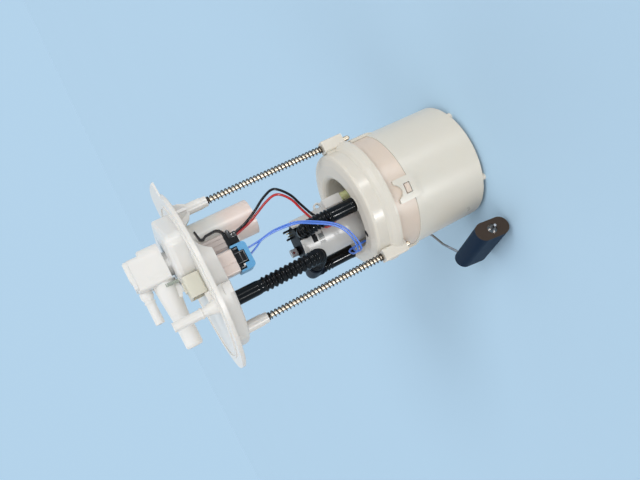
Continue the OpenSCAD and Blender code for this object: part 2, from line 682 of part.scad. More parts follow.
// Upper shell of the ring filter, with lugs for the rods and spigots for the hoses
module filter_ring() {
    c = opening_at;
    z0 = lip_z;
    h = ring_height;
    color([0.95, 0.95, 0.93]) difference() {
        union() {
            difference() {
                ring_outside(z0, h, ring_radius);
                ring_inside(z0, h, ring_radius - ring_wall);
            }
            for (i = [0, 1]) lug(rods[i], lug_lows[i]);
            // seats of the outlet hose and of the hose from the pump
            at(outlet_at, z0 + h - 2) cylinder(r = hose_radius + 0.3, h = 3.2);
            at(front_at, z0 + h - 2) cylinder(r = hose_radius + 0.3, h = 3.2);
        }
        difference() {
            union() {
                at(c, z0 - 1) cylinder(r = opening_radius, h = h + 4);
                // wide round on the edge of the opening
                at(c, z0 + h + 0.81) rotate_extrude() translate([opening_radius, 0])
                    polygon([[-1, 0], [3.8, 0], [2, -0.6], [0.7, -1.7], [0, -3.4], [-1, -3.4]]);
            }
            at(front_at, z0 + 4) cylinder(r = hose_radius + 0.3, h = h - 3.4);
        }
        for (p = rods) at(p, lug_low - 1) cylinder(r = rod_radius + rod_clearance, h = 60);
        // the sleeve stands under the ring
        at([0, 0], z0 - 20) cylinder(r = sleeve_radius + 0.3, h = 20.95);
        // drain hole in the top, and the ways into the two hoses
        translate([-23.4, -18.8, z0 + h - 4]) cylinder(r = 2.8, h = 9);
        at(outlet_at, z0 + h - 6) cylinder(r = 3, h = 12);
        at(front_at, z0 + h - 9) cylinder(r = 3, h = 12);
    }
}

module ring_outside(z0, h, r) {
    at([0, 0], z0) rotate_extrude() polygon([[0, 2], [lip_radius - ring_wall, 2], [lip_radius - ring_wall, 0],
        [lip_radius, 0], [lip_radius, 1.6], [lip_radius - 0.8, 4.2], [lip_radius - 2.6, 6.6], [r + 0.2, 8.2],
        [r, h - 2.2], [r - 0.8, h - 0.6], [r - 2.5, h], [r - 7, h + 0.8], [0, h + 0.8]]);
}

module ring_inside(z0, h, r) {
    difference() {
        at([0, 0], z0 + 1.9) rotate_extrude() polygon([[0, -1], [lip_radius - ring_wall, -1],
            [lip_radius - ring_wall, 0.1], [lip_radius - ring_wall - 1, 2.6], [r, 5.2], [r, h - 5],
            [r - 1.6, h - 3.9 - ring_wall / 2], [0, h - 3.4 - ring_wall / 2]]);
        at(opening_at, z0 + 1) cylinder(r = opening_radius + ring_wall, h = h);
        at(front_at, z0 + 4) cylinder(r = hose_radius + 0.3, h = h);
    }
}

// A lug that guides one rod and seats its spring
module lug(p, low) {
    at(p, low) linear_extrude(lug_top - low) round_rect(2 * lug_half, 2 * lug_half, 1.4);
    a = atan2(p[1], p[0]);
    at([0, 0], low + 4) rotate([0, 0, a]) linear_extrude(lug_top - low - 5)
        translate([ring_radius - 1, -lug_half + 0.6]) square([norm(p) - ring_radius + 1, 2 * lug_half - 1.2]);
}

module filter_base() {
    color([0.90, 0.90, 0.88]) at([0, 0], lip_z + 0.95) difference() {
        cylinder(r = lip_radius - ring_wall - 0.15, h = 0.9);
        at(opening_at, -1) cylinder(r = opening_radius, h = 3);
        for (p = rods) {
            at(p, -1) linear_extrude(3) square(2 * lug_half + 0.2, center = true);
            rotate([0, 0, atan2(p[1], p[0])])
                translate([ring_radius - 1.2, -lug_half, -1]) cube([20, 2 * lug_half, 3]);
        }
    }
}

// Pleated paper of the ring filter, round the opening
module filter_element() {
    color([0.86, 0.80, 0.62]) at([0, 0], lip_z + 3) difference() {
        cylinder(r = ring_radius - ring_wall - 1.2, h = ring_height - 7.4);
        at(opening_at, -1) cylinder(r = opening_radius + ring_wall + 0.6, h = ring_height);
        // room for the outlet and the inlet
        at(outlet_at, -1) cylinder(r = 3.4, h = ring_height);
        at(front_at, -1) cylinder(r = hose_radius + 0.6, h = ring_height);
    }
}

// Holder round the pump: tube with arms to the sleeve, a window, a wire clip
module pump_holder() {
    c = holder_at;
    h = holder_top - holder_low;
    arm_z = cup_rim - 9;
    color([0.93, 0.93, 0.92]) difference() {
        union() {
            at(c, holder_low) cylinder(r = holder_radius, h = h);
            // the rim stands higher in front, left and right of the hose
            at(c, holder_top - play) linear_extrude(3.6) {
                sector(holder_radius - holder_wall, holder_radius, -156, -88);
                sector(holder_radius - holder_wall, holder_radius, -52, -26);
            }
            intersection() {
                at([0, 0], arm_z) cylinder(r = cup_radius - cup_wall - sleeve_wall - 0.4, h = 6);
                at(c, arm_z) for (a = [35, 155, 268]) rotate([0, 0, a]) translate([holder_radius - 1, -4, 0])
                    cube([60, 8, 6]);
            }
            // clip for the pump's leads, and the bracket over the riser
            at(c + [holder_radius + 1, -1.5], ring_top + 15) rotate([-90, 0, 0]) difference() {
                cylinder(r = 3, h = 3);
                translate([0, 0, -1]) cylinder(r = 1.8, h = 5);
            }
            at(riser_at, ring_top + 1.6 + play) linear_extrude(14)
                polygon([[-3.4, -3.4], [3.2, -3.4], [3.2, 3], [-4, 9], [-9, 4]]);
        }
        at(c, holder_low + 3) cylinder(r = holder_radius - holder_wall, h = h + 4);
        at(c, holder_low - 1) cylinder(r = holder_radius - holder_wall - 4, h = 6);
        // way for the hose, the black window and the shallow square under it
        translate([front_at[0] - 4.5, c[1] - holder_radius - 3, holder_top - 1]) cube([9, 9, 9]);
        translate([front_at[0], c[1] - 10, holder_top - 1]) rotate([90, 0, 0]) cylinder(r = 4.5, h = 12);
        translate([c[0] - 6.2, c[1] - holder_radius - 2, holder_top - 8.2]) cube([5.8, 6, 3.6]);
        translate([c[0] - 9.4, c[1] - holder_radius - 2, holder_top - 13.4]) cube([9, 3.2, 4.4]);
        // saddle for the hose elbow on the left
        translate([-27.4, -9, holder_top + 1.2]) rotate([-90, 0, 0]) cylinder(r = hose_radius + 0.9, h = 32);
        for (a = [0, 90, 180]) at(c, holder_low + 16) rotate([0, 0, a + 30]) translate([holder_radius, 0, 0])
            cube([8, 9, 14], center = true);
    }
}

// Steel body of the pump, turned in over its end pieces
module pump_can() {
    color([0.72, 0.73, 0.74]) at(holder_at, can_low + 6) difference() {
        cylinder(r = can_radius, h = pump_length - 12.2);
        translate([0, 0, -1]) cylinder(r = can_radius - 0.8, h = pump_length);
    }
}

module pump_magnets() {
    color([0.30, 0.30, 0.32]) at(holder_at, can_low + 16) for (a = [0, 180]) rotate([0, 0, a])
        linear_extrude(pump_length - 32) sector(can_radius - 3.8, can_radius - 0.85, -70, 70);
}

// Motor armature with shaft, winding slots and commutator
module pump_armature() {
    r = can_radius - 4.6;
    low = can_low + 18;
    h = pump_length - 40;
    color([0.66, 0.42, 0.26]) difference() {
        union() {
            at(holder_at, low) cylinder(r = r, h = h);
            at(holder_at, low - 2) cylinder(r1 = r - 3, r2 = r - 1.4, h = 2 + play);
            at(holder_at, low + h - play) cylinder(r = r - 3.4, h = 6);
            at(holder_at, can_low + 4.2) cylinder(r = shaft_radius, h = pump_length - 8.4);
        }
        for (a = [0:45:315]) at(holder_at, low - 3) rotate([0, 0, a]) translate([r - 1.6, -0.7, 0])
            cube([3, 1.4, h + 4]);
    }
}

// Bladed pump wheel on the shaft's lower end
module pump_wheel() {
    r = can_radius - 2.6;
    color([0.20, 0.19, 0.18]) at(holder_at, can_low + 7.2) difference() {
        cylinder(r = r, h = 3.6);
        translate([0, 0, -1]) cylinder(r = shaft_radius + 0.02, h = 6);
        for (i = [0:blade_count - 1]) rotate([0, 0, i * 360 / blade_count]) translate([r - 2.2, -0.6, -1])
            cube([4, 1.2, 5.6]);
        for (a = [0:120:240]) rotate([0, 0, a]) translate([5.6, 0, -1]) cylinder(r = 1.2, h = 6);
    }
}

// Inlet body under the wheel, with the ring that houses it and the lower bearing
module pump_inlet() {
    r = can_radius - 0.85;
    color([0.80, 0.80, 0.80]) difference() {
        union() {
            at(holder_at, can_low + 0.4) cylinder(r1 = can_radius - 2, r2 = can_radius, h = 2);
            at(holder_at, can_low + 2.4 - play) cylinder(r = can_radius, h = 3.6);
            at(holder_at, can_low + 5.9) cylinder(r = r, h = 9.3);
            translate([holder_at[0] + 6, holder_at[1], can_low - 9]) cylinder(r = 3.6, h = 11);
        }
        at(holder_at, can_low + 6.8) cylinder(r = r - 1.2, h = 4.4);
        at(holder_at, can_low + 2.6) cylinder(r = shaft_radius + shaft_clearance, h = 14);
        translate([holder_at[0] + 6, holder_at[1], can_low - 10]) cylinder(r = 2.3, h = 18);
        translate([holder_at[0] - 8, holder_at[1], can_low + 10]) cylinder(r = 1.6, h = 7);
    }
}

module pump_isolator() {
    color([0.12, 0.12, 0.12]) at(holder_at, holder_low + 3 + play) difference() {
        cylinder(r = holder_radius - holder_wall - 0.2, h = can_low - holder_low - 3.2);
        translate([6, 0, -1]) cylinder(r = 4, h = 30);
        translate([0, 0, -1]) cylinder(r = 1.2, h = 3);
    }
}

// Black end of the pump with its outlet, terminal sockets and upper bearing
module pump_head() {
    z = holder_top;
    low = can_low + pump_length - 10;
    x = front_at[0];
    color([0.07, 0.08, 0.09]) difference() {
        union() {
            at(holder_at, low) cylinder(r = can_radius - 0.85, h = 4.3);
            at(holder_at, z - 6.1) cylinder(r = can_radius, h = 6.1 + play);
            at(holder_at, z) cylinder(r = head_radius, h = 1.6);
            at(holder_at, z + 1.6 - play) cylinder(r1 = head_radius, r2 = head_radius - 0.8, h = 0.8);
            // prongs that guard the terminals, and the seat of the relief valve
            for (p = [0.2, 6.1]) translate([p, 9.4, z + 2]) cube([1.2, 3.4, 4.6]);
            translate([-9.7, 11.5, z + 2]) cylinder(r = 3.4, h = 2);
            // outlet towards the front
            translate([x, -2, z - 1]) rotate([90, 0, 0]) cylinder(r = 4.2, h = 9.7);
        }
        at(holder_at, low - 1) cylinder(r = shaft_radius + shaft_clearance, h = 8);
        translate([x, 4, z - 1]) rotate([90, 0, 0]) cylinder(r = 2.4, h = 15);
        translate([x, 3, low - 1]) cylinder(r = 2, h = 11);
        translate([-9.7, 11.5, z - 1]) cylinder(r = 2.7, h = 6);
        for (p = [2.6, 4.9]) translate([p - 0.45, 10.4, z - 4]) cube([0.9, 1.3, 20]);
    }
}

// Clear relief valve that stands in the head
module relief_valve() {
    color([0.70, 0.72, 0.74, 0.6]) difference() {
        union() {
            translate([-9.7, 11.5, holder_top - 1 + play]) cylinder(r = 2.65, h = 6);
            translate([-9.7, 11.5, holder_top + 4 + play]) cylinder(r = 3.05, h = 4.6);
        }
        translate([-9.9, 9.4, holder_top + 7]) rotate([90, 0, 0]) cylinder(r = 0.9, h = 3);
    }
}

module pump_terminals() {
    color([0.80, 0.66, 0.36]) for (p = [2.6, 4.9])
        translate([p - 0.4, 10.5, holder_top - 3]) cube([0.8, 1.1, 8]);
}

// Flat strainer on the pump's inlet, near the cup's floor
module suction_strainer() {
    x = holder_at[0] + 6;
    y = holder_at[1];
    color([0.84, 0.85, 0.80]) difference() {
        union() {
            translate([x, y, cup_base + 5]) linear_extrude(5) round_rect(44, 21, 8);
            translate([x, y, cup_base + 9.5]) cylinder(r = 7, h = 2);
            translate([x, y, cup_base + 10]) cylinder(r = 4.8, h = can_low - 9 - cup_base - 10 - play);
        }
        translate([x, y, cup_base + 8]) cylinder(r = 3, h = 60);
    }
}

// Jet pump that fills the cup through the riser
module jet_pump() {
    color([0.20, 0.20, 0.21]) difference() {
        union() {
            at(riser_at, cup_base + 2.2 + play) linear_extrude(2.4) round_rect(13, 8, 2);
            at(riser_at, cup_base + 2.4) cylinder(r = 2.6, h = 2.4);
        }
        at(riser_at, cup_base + 1) cylinder(r = 1.2, h = 6);
    }
}

module riser_tube() {
    top = ring_top + 1.6;
    color([0.80, 0.82, 0.50]) at(riser_at, cup_base + 4.8 + play) difference() {
        cylinder(r = 3.1, h = top - cup_base - 4.8);
        translate([0, 0, -1]) cylinder(r = 2, h = 200);
    }
}

// Rubber umbrella valve over the inlet holes
module foot_valve() {
    color([0.35, 0.12, 0.10]) {
        at([16, 14], cup_base + 2.2 + play) cylinder(r1 = 6.4, r2 = 4.4, h = 1.3);
        at([16, 14], cup_base - 0.6) cylinder(r = 2, h = 3.4);
        at([16, 14], cup_base - 1.3) cylinder(r = 2.7, h = 0.8);
    }
}

// Sender parts are drawn at their own angle: +Y leads away from the cup
module on_sender() { rotate([0, 0, sender_turn]) children(); }

// Sender body on the back of the cup, with the pivot pin
module sender_body() {
    y0 = cup_radius + 0.1;
    color([0.90, 0.90, 0.86]) on_sender() difference() {
        union() {
            translate([-12, y0 - 3.2, cup_base + 8]) cube([24, 6.4, 36]);
            translate([-9, y0 + 3, pivot_height - 14]) cube([18, 1.2, 24]);
            translate([0, y0 + 3, pivot_height]) rotate([-90, 0, 0]) cylinder(r = pivot_radius, h = 7.2);
            translate([0, y0 + 3, pivot_height]) rotate([-90, 0, 0]) cylinder(r = pivot_radius + 2, h = 1.8);
            // stops of the arm
            translate([-13.5, y0 + 2, pivot_height - 11]) cube([3.4, 2.4, 4]);
        }
        at([0, 0], 0) cylinder(r = y0 - 0.05, h = 120);
        for (i = [-1, 1])
            translate([i * 8, y0 + 12, cup_base + 14]) rotate([90, 0, 0]) cylinder(r = 1.1, h = 20);
    }
}

// Ceramic card with the resistor, beside the pivot
module sender_card() {
    y0 = cup_radius + 4.3 + play;
    color([0.86, 0.88, 0.86]) on_sender() translate([-8, y0, pivot_height + 2.8]) difference() {
        cube([16, 0.7, 6.8]);
        translate([8, -1, -2.8]) rotate([-90, 0, 0]) cylinder(r = pivot_radius + 2.1, h = 3);
    }
}

module sender_contacts() {
    y0 = cup_radius + 5.05 + 2 * play;
    color([0.80, 0.62, 0.34]) on_sender() translate([0, y0, pivot_height])
        for (a = [-30:10:30]) rotate([0, a, 0]) translate([-0.3, 0, 5.2]) cube([0.6, 0.12, 3.6]);
}

// Hub that clips on the pivot and grips the wire, with its wiper plate
module arm_hub() {
    y0 = cup_radius + 5.9;
    color([0.13, 0.13, 0.14]) on_sender() difference() {
        union() {
            translate([0, y0, pivot_height]) rotate([-90, 0, 0]) cylinder(r = 5.4, h = 4.3);
            translate([0, arm_plane - 1.7, pivot_height]) rotate([0, -7, 0]) translate([-13.5, 0, -1.9])
                cube([16, 3.3, 3.8]);
            translate([-3, y0, pivot_height]) cube([6, 1, 10]);
        }
        translate([0, y0 - 1, pivot_height]) rotate([-90, 0, 0])
            cylinder(r = pivot_radius + pivot_clearance, h = 8);
        // bore for the wire
        translate(arm_points[0] + [0.4, 0, 0.05]) rotate([0, -90 - atan2(arm_points[0][2] - arm_points[1][2],
            arm_points[0][0] - arm_points[1][0]), 0]) cylinder(r = wire_radius + play, h = 20);
    }
}

arm_points = [[-6, arm_plane, pivot_height - 0.8], [-20, arm_plane, pivot_height - 2.5],
    [-37, arm_plane - 13.5, pivot_height - 5.5], [-48, arm_plane - 16.1, pivot_height - 7.4],
    [8.8 - arm_reach, arm_plane - 18.2, pivot_height - 12.6],
    [-arm_reach, arm_plane - 18.8, pivot_height - float_drop]];
float_far = arm_plane - 20.8;

// The bent wire, with a straight bar through the float
arm_end = arm_points[len(arm_points) - 1] - [0, float_length + 7.4, 0];
module float_arm() {
    color([0.55, 0.56, 0.58]) on_sender() sweep(concat(arm_points, [arm_end]), wire_radius, 12, [0, 0, 1]);
}

// Foam float: a long block with round edges, bored for the wire
module level_float() {
    r = float_thick / 2;
    color([0.10, 0.20, 0.30]) on_sender()
        translate([-arm_reach, float_far, pivot_height - float_drop]) rotate([90, 6, 0]) difference() {
            linear_extrude(float_length) {
                square([float_thick, float_height - float_thick], center = true);
                for (j = [-1, 1]) translate([0, j * (float_height / 2 - r)]) circle(r);
            }
            translate([0, 0, -1]) cylinder(r = wire_radius + play, h = float_length + 2);
        }
}

module push_nut() {
    color([0.70, 0.70, 0.72]) on_sender()
        translate([-arm_reach, float_far - float_length - play, pivot_height - float_drop]) rotate([90, 0, 0])
            difference() {
                cylinder(r1 = 3.6, r2 = 2.2, h = 1.2);
                translate([0, 0, -1]) cylinder(r = wire_radius + 0.02, h = 4);
            }
}

feed_line = [[feed_at[0], feed_at[1], flange_low - 8 - play], up(feed_at[0], feed_at[1], 88),
    up(-24.1, -36.8, 60), up(-23.7, -36.2, 50), up(-23.3, -32, 43), up(-24, -23, 40.6), up(-26.2, -9, 40.4)];
elbow_line = [up(-26.2, -8.5, 40.4), up(-27.4, 4, 40.2), up(-27.6, 13.6, 39), up(-27.2, 20.6, 36.2),
    up(-26.7, 23.8, 31.6), up(-26.6, 24.3, 28)];
filter_line = [[front_at[0], -11.7 - play, holder_top - 1], [front_at[0], -15, holder_top - 1.3],
    [front_at[0], -20.4, holder_top - 3.6], [front_at[0], -24.6, holder_top - 9],
    [front_at[0], front_at[1], holder_top - 17], [front_at[0], front_at[1], ring_top + 1.2 + play]];

module feed_hose() { color([0.06, 0.06, 0.07]) sweep(smooth(feed_line, 2), feed_radius, 12); }

module hose_elbow() { color([0.07, 0.09, 0.14]) sweep(smooth(elbow_line, 2), hose_radius + 0.3, 12); }

module outlet_hose() {
    top = ring_top + 27.7 * gap / 114.7;
    color([0.06, 0.06, 0.07]) at(outlet_at, ring_top + 1.2 + play)
        cylinder(r = hose_radius, h = top - ring_top - 1.2 - 2 * play);
}

module filter_hose() { color([0.06, 0.06, 0.07]) sweep(smooth(filter_line, 2), hose_radius, 12); }

blue_front_line = [[sender_ways[0], header_at[1], plug_low + 1.2], up(-0.6, -33.4, 78), up(2.8, -34, 71),
    up(3.6, -34.6, 60), up(2.4, -34.7, 47.4), up(-0.8, -34.7, 39.6), up(-8.7, -33, 24.8), up(-15, -30.4, 18),
    up(-23, -26.4, 13.8), up(-30.4, -17.6, 11.2), up(-31, -8.4, 12.2), up(-26.8, 3, 9.6), up(-25.4, 5.4, -5)];
blue_rear_line = [[sender_ways[1], header_at[1], plug_low + 1.2], up(3, -32, 73), up(5, -31.8, 62),
    up(4.4, -32.3, 50), up(2.6, -32.4, 42.6), up(-2, -32.4, 33), up(-8.4, -30.8, 21.8),
    up(-14.6, -28.6, 15.6), up(-22.6, -25.4, 11.4), up(-30.6, -19.4, 9), up(-30.8, -8, 9),
    up(-27, 0.4, 6.6), up(-26.2, 1.4, -5)];
red_line = [[pump_ways[0][0], pump_ways[0][1], grey_low - 9], up(18.6, -20.4, 71.4), up(22.6, -19.6, 63),
    up(27, -18.6, 54), up(29.2, -17.6, 46.4), up(27.4, -16.4, 41), up(21.2, -15.4, 35.8),
    up(13, -14.6, 32.8), up(3, -14.6, 29), up(-4.6, -15, 25), up(-6.6, -15.4, 20.4), up(-4.8, -15.8, 14),
    up(-3.6, -16, 6), up(-3.4, -16, -5)];
black_line = [[pump_ways[1][0], pump_ways[1][1], grey_low - 9], up(19, -22.8, 74.4), up(24, -22, 64.6),
    up(29.6, -20.8, 55.6), up(33, -19.6, 47), up(31, -18.6, 41.6), up(24, -17.8, 35.6), up(15.4, -17.2, 32.2),
    up(5, -17, 27.6), up(-0.4, -16.8, 21.6), up(-0.4, -16.6, 13), up(-0.4, -16.4, -5)];

module blue_lead_front() { color([0.25, 0.40, 0.85]) sweep(smooth(blue_front_line, 1), sender_lead); }

module blue_lead_rear() { color([0.25, 0.40, 0.85]) sweep(smooth(blue_rear_line, 1), sender_lead); }

module red_lead() { color([0.75, 0.12, 0.10]) sweep(smooth(red_line, 1), lead_radius); }

module black_lead() { color([0.08, 0.08, 0.08]) sweep(smooth(black_line, 1), lead_radius); }

flange_cover();
vapour_chamber();
valve_tower();
tower_cap();
outer_connector();
outer_terminals();
valve_tube();
valve_float();
valve_spring();
valve_tube_cap();
sender_header();
header_terminals();
sender_plug();
plug_lock_frame();
pump_header();
pump_header_terminals();
pump_plug();
lock_lever();
wire_boot();
guide_rods();
spring_left();
spring_right();
reservoir_cup();
inner_sleeve();
filter_ring();
filter_base();
filter_element();
pump_holder();
pump_can();
pump_magnets();
pump_armature();
pump_wheel();
pump_inlet();
pump_isolator();
pump_head();
relief_valve();
pump_terminals();
suction_strainer();
jet_pump();
riser_tube();
foot_valve();
sender_body();
sender_card();
sender_contacts();
arm_hub();
float_arm();
level_float();
push_nut();
feed_hose();
hose_elbow();
outlet_hose();
filter_hose();
blue_lead_front();
blue_lead_rear();
red_lead();
black_lead();
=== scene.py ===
import math

import bmesh
import bpy
from mathutils import Matrix, Vector


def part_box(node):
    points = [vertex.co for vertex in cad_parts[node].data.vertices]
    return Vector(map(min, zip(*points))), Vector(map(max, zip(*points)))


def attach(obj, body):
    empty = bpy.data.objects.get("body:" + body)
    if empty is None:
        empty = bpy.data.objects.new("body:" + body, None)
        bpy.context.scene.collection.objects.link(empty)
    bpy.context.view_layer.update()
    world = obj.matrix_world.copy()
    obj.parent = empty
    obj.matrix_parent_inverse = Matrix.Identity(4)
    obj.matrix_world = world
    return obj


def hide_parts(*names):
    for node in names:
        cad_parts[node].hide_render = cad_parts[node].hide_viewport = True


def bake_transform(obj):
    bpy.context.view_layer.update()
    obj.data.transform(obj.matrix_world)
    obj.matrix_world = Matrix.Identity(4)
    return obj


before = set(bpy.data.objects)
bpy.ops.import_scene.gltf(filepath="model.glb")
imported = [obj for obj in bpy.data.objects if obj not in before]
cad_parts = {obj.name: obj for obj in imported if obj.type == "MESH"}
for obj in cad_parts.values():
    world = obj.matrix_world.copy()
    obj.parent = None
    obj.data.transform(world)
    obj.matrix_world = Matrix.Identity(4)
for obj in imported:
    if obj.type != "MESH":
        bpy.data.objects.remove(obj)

scene = bpy.context.scene
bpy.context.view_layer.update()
print("packed model loaded:", len(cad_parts), "nodes")


def mm(*values):
    # millimetres to metres; one number gives a number, three give a point
    return values[0] * 0.001 if len(values) == 1 else Vector(values) * 0.001


# heights that the pieces share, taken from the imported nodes; the rods end this far below the ring's top
rodReach = 25.2
heights = {
    "ringTop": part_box("guide_rods")[0].z + mm(rodReach),
    "lugTop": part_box("spring_left")[0].z,
    "socketLow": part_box("spring_left")[1].z,
}


def overRing(x, y, height):
    # a point at a height over the filter ring
    return mm(x, y, height) + Vector((0, 0, heights["ringTop"]))


# camera
cameraSettings = {
    "place": mm(-57.2, -430.3, 251.8),
    "target": mm(-10.7, 1.2, 121.4),
    "roll": math.radians(-116.44),  # the module lies on its side in view
    "focalPixels": 630.0,
    "imageWidth": 640.0,
}


def addCamera(settings):
    ahead = (settings["target"] - settings["place"]).normalized()
    right = ahead.cross(Vector((0, 0, 1))).normalized()
    upward = right.cross(ahead)
    cosRoll = math.cos(settings["roll"])
    sinRoll = math.sin(settings["roll"])
    turnedRight = right * cosRoll + upward * sinRoll
    turnedUp = upward * cosRoll - right * sinRoll
    data = bpy.data.cameras.new("photoCamera")
    data.sensor_width = 36
    data.lens = settings["focalPixels"] * data.sensor_width / settings["imageWidth"]
    data.clip_start = 0.01
    data.clip_end = 50
    camera = bpy.data.objects.new("photoCamera", data)
    scene.collection.objects.link(camera)
    turn = Matrix((turnedRight, turnedUp, -ahead)).transposed().to_4x4()
    camera.matrix_world = Matrix.Translation(settings["place"]) @ turn
    scene.camera = camera


addCamera(cameraSettings)
print("camera placed")


# shader groups, each built once
def newGroup(name, inputs, outputs):
    group = bpy.data.node_groups.new(name, "ShaderNodeTree")
    for label, kind, value in inputs:
        socket = group.interface.new_socket(label, in_out="INPUT", socket_type=kind)
        if value is not None:
            socket.default_value = value
    for label, kind in outputs:
        group.interface.new_socket(label, in_out="OUTPUT", socket_type=kind)
    start = group.nodes.new("NodeGroupInput")
    end = group.nodes.new("NodeGroupOutput")
    return group, start, end


def addNode(tree, kind, **values):
    node = tree.nodes.new(kind)
    for key, value in values.items():
        setattr(node, key, value)
    return node


def join(tree, fromSocket, toSocket):
    tree.links.new(fromSocket, toSocket)


def buildMottle():
    # cloudy change of colour and gloss, with a fine grain for bump
    group, start, end = newGroup("mottle", [
        ("Vector", "NodeSocketVector", None),
        ("Colour", "NodeSocketColor", (0.8, 0.8, 0.8, 1)),
        ("Shade", "NodeSocketColor", (0.7, 0.7, 0.7, 1)),
        ("Cloud Scale", "NodeSocketFloat", 40.0),
        ("Cloud Amount", "NodeSocketFloat", 0.5),
        ("Grain Scale", "NodeSocketFloat", 900.0),
        ("Gloss", "NodeSocketFloat", 0.4),
        ("Gloss Spread", "NodeSocketFloat", 0.1),
    ], [
        ("Colour", "NodeSocketColor"),
        ("Roughness", "NodeSocketFloat"),
        ("Height", "NodeSocketFloat"),
    ])
    cloud = addNode(group, "ShaderNodeTexNoise")
    cloud.inputs["Detail"].default_value = 3
    grain = addNode(group, "ShaderNodeTexNoise")
    grain.inputs["Detail"].default_value = 2
    spread = addNode(group, "ShaderNodeMapRange")
    spread.inputs["From Min"].default_value = 0.25
    spread.inputs["From Max"].default_value = 0.75
    amount = addNode(group, "ShaderNodeMath", operation="MULTIPLY")
    blend = addNode(group, "ShaderNodeMix", data_type="RGBA")
    centre = addNode(group, "ShaderNodeMath", operation="SUBTRACT")
    centre.inputs[1].default_value = 0.5
    gloss = addNode(group, "ShaderNodeMath", operation="MULTIPLY_ADD")
    join(group, start.outputs["Vector"], cloud.inputs["Vector"])
    join(group, start.outputs["Vector"], grain.inputs["Vector"])
    join(group, start.outputs["Cloud Scale"], cloud.inputs["Scale"])
    join(group, start.outputs["Grain Scale"], grain.inputs["Scale"])
    join(group, cloud.outputs["Fac"], spread.inputs["Value"])
    join(group, spread.outputs["Result"], amount.inputs[0])
    join(group, start.outputs["Cloud Amount"], amount.inputs[1])
    join(group, amount.outputs[0], blend.inputs["Factor"])
    join(group, start.outputs["Colour"], blend.inputs["A"])
    join(group, start.outputs["Shade"], blend.inputs["B"])
    join(group, spread.outputs["Result"], centre.inputs[0])
    join(group, centre.outputs[0], gloss.inputs[0])
    join(group, start.outputs["Gloss Spread"], gloss.inputs[1])
    join(group, start.outputs["Gloss"], gloss.inputs[2])
    join(group, blend.outputs["Result"], end.inputs["Colour"])
    join(group, gloss.outputs[0], end.inputs["Roughness"])
    join(group, grain.outputs["Fac"], end.inputs["Height"])
    return group


def buildBand():
    # 0 below one place, 1 above another, along one direction
    group, start, end = newGroup("band", [
        ("Vector", "NodeSocketVector", None),
        ("Direction", "NodeSocketVector", (0, 0, 1)),
        ("From", "NodeSocketFloat", 0.0),
        ("To", "NodeSocketFloat", 1.0),
    ], [("Mask", "NodeSocketFloat")])
    along = addNode(group, "ShaderNodeVectorMath", operation="DOT_PRODUCT")
    ramp = addNode(group, "ShaderNodeMapRange", interpolation_type="SMOOTHSTEP")
    join(group, start.outputs["Vector"], along.inputs[0])
    join(group, start.outputs["Direction"], along.inputs[1])
    join(group, along.outputs["Value"], ramp.inputs["Value"])
    join(group, start.outputs["From"], ramp.inputs["From Min"])
    join(group, start.outputs["To"], ramp.inputs["From Max"])
    join(group, ramp.outputs["Result"], end.inputs["Mask"])
    return group


def buildBrushed():
    # fine lines along one direction, for drawn wire and turned metal
    group, start, end = newGroup("brushed", [
        ("Vector", "NodeSocketVector", None),
        ("Stretch", "NodeSocketVector", (1, 1, 0.03)),
        ("Scale", "NodeSocketFloat", 3000.0),
    ], [("Lines", "NodeSocketFloat")])
    stretch = addNode(group, "ShaderNodeVectorMath", operation="MULTIPLY")
    lines = addNode(group, "ShaderNodeTexNoise")
    lines.inputs["Detail"].default_value = 2
    join(group, start.outputs["Vector"], stretch.inputs[0])
    join(group, start.outputs["Stretch"], stretch.inputs[1])
    join(group, stretch.outputs["Vector"], lines.inputs["Vector"])
    join(group, start.outputs["Scale"], lines.inputs["Scale"])
    join(group, lines.outputs["Fac"], end.inputs["Lines"])
    return group


shared = {"mottle": buildMottle(), "band": buildBand(), "brushed": buildBrushed()}
print("shader groups built")


def newMaterial(name, metallic=0.0, glow=0.0, clear=0.0, shine=0.5, ior=1.5):
    material = bpy.data.materials.new(name)
    material.use_nodes = True
    tree = material.node_tree
    shader = tree.nodes["Principled BSDF"]
    shader.inputs["Metallic"].default_value = metallic
    shader.inputs["Subsurface Weight"].default_value = glow
    shader.inputs["Subsurface Radius"].default_value = (0.004, 0.0034, 0.0028)
    shader.inputs["Subsurface Scale"].default_value = 1.0
    shader.inputs["Transmission Weight"].default_value = clear
    shader.inputs["Specular IOR Level"].default_value = shine
    shader.inputs["IOR"].default_value = ior
    place = addNode(tree, "ShaderNodeTexCoord")
    return material, tree, shader, place.outputs["Object"]


def addGroup(tree, name, place, **values):
    node = addNode(tree, "ShaderNodeGroup")
    node.node_tree = shared[name]
    join(tree, place, node.inputs["Vector"])
    for key, value in values.items():
        node.inputs[key.replace("_", " ")].default_value = value
    return node


def addBump(tree, shader, height, strength, depth):
    bump = addNode(tree, "ShaderNodeBump")
    bump.inputs["Strength"].default_value = strength
    bump.inputs["Distance"].default_value = depth
    join(tree, height, bump.inputs["Height"])
    join(tree, bump.outputs["Normal"], shader.inputs["Normal"])


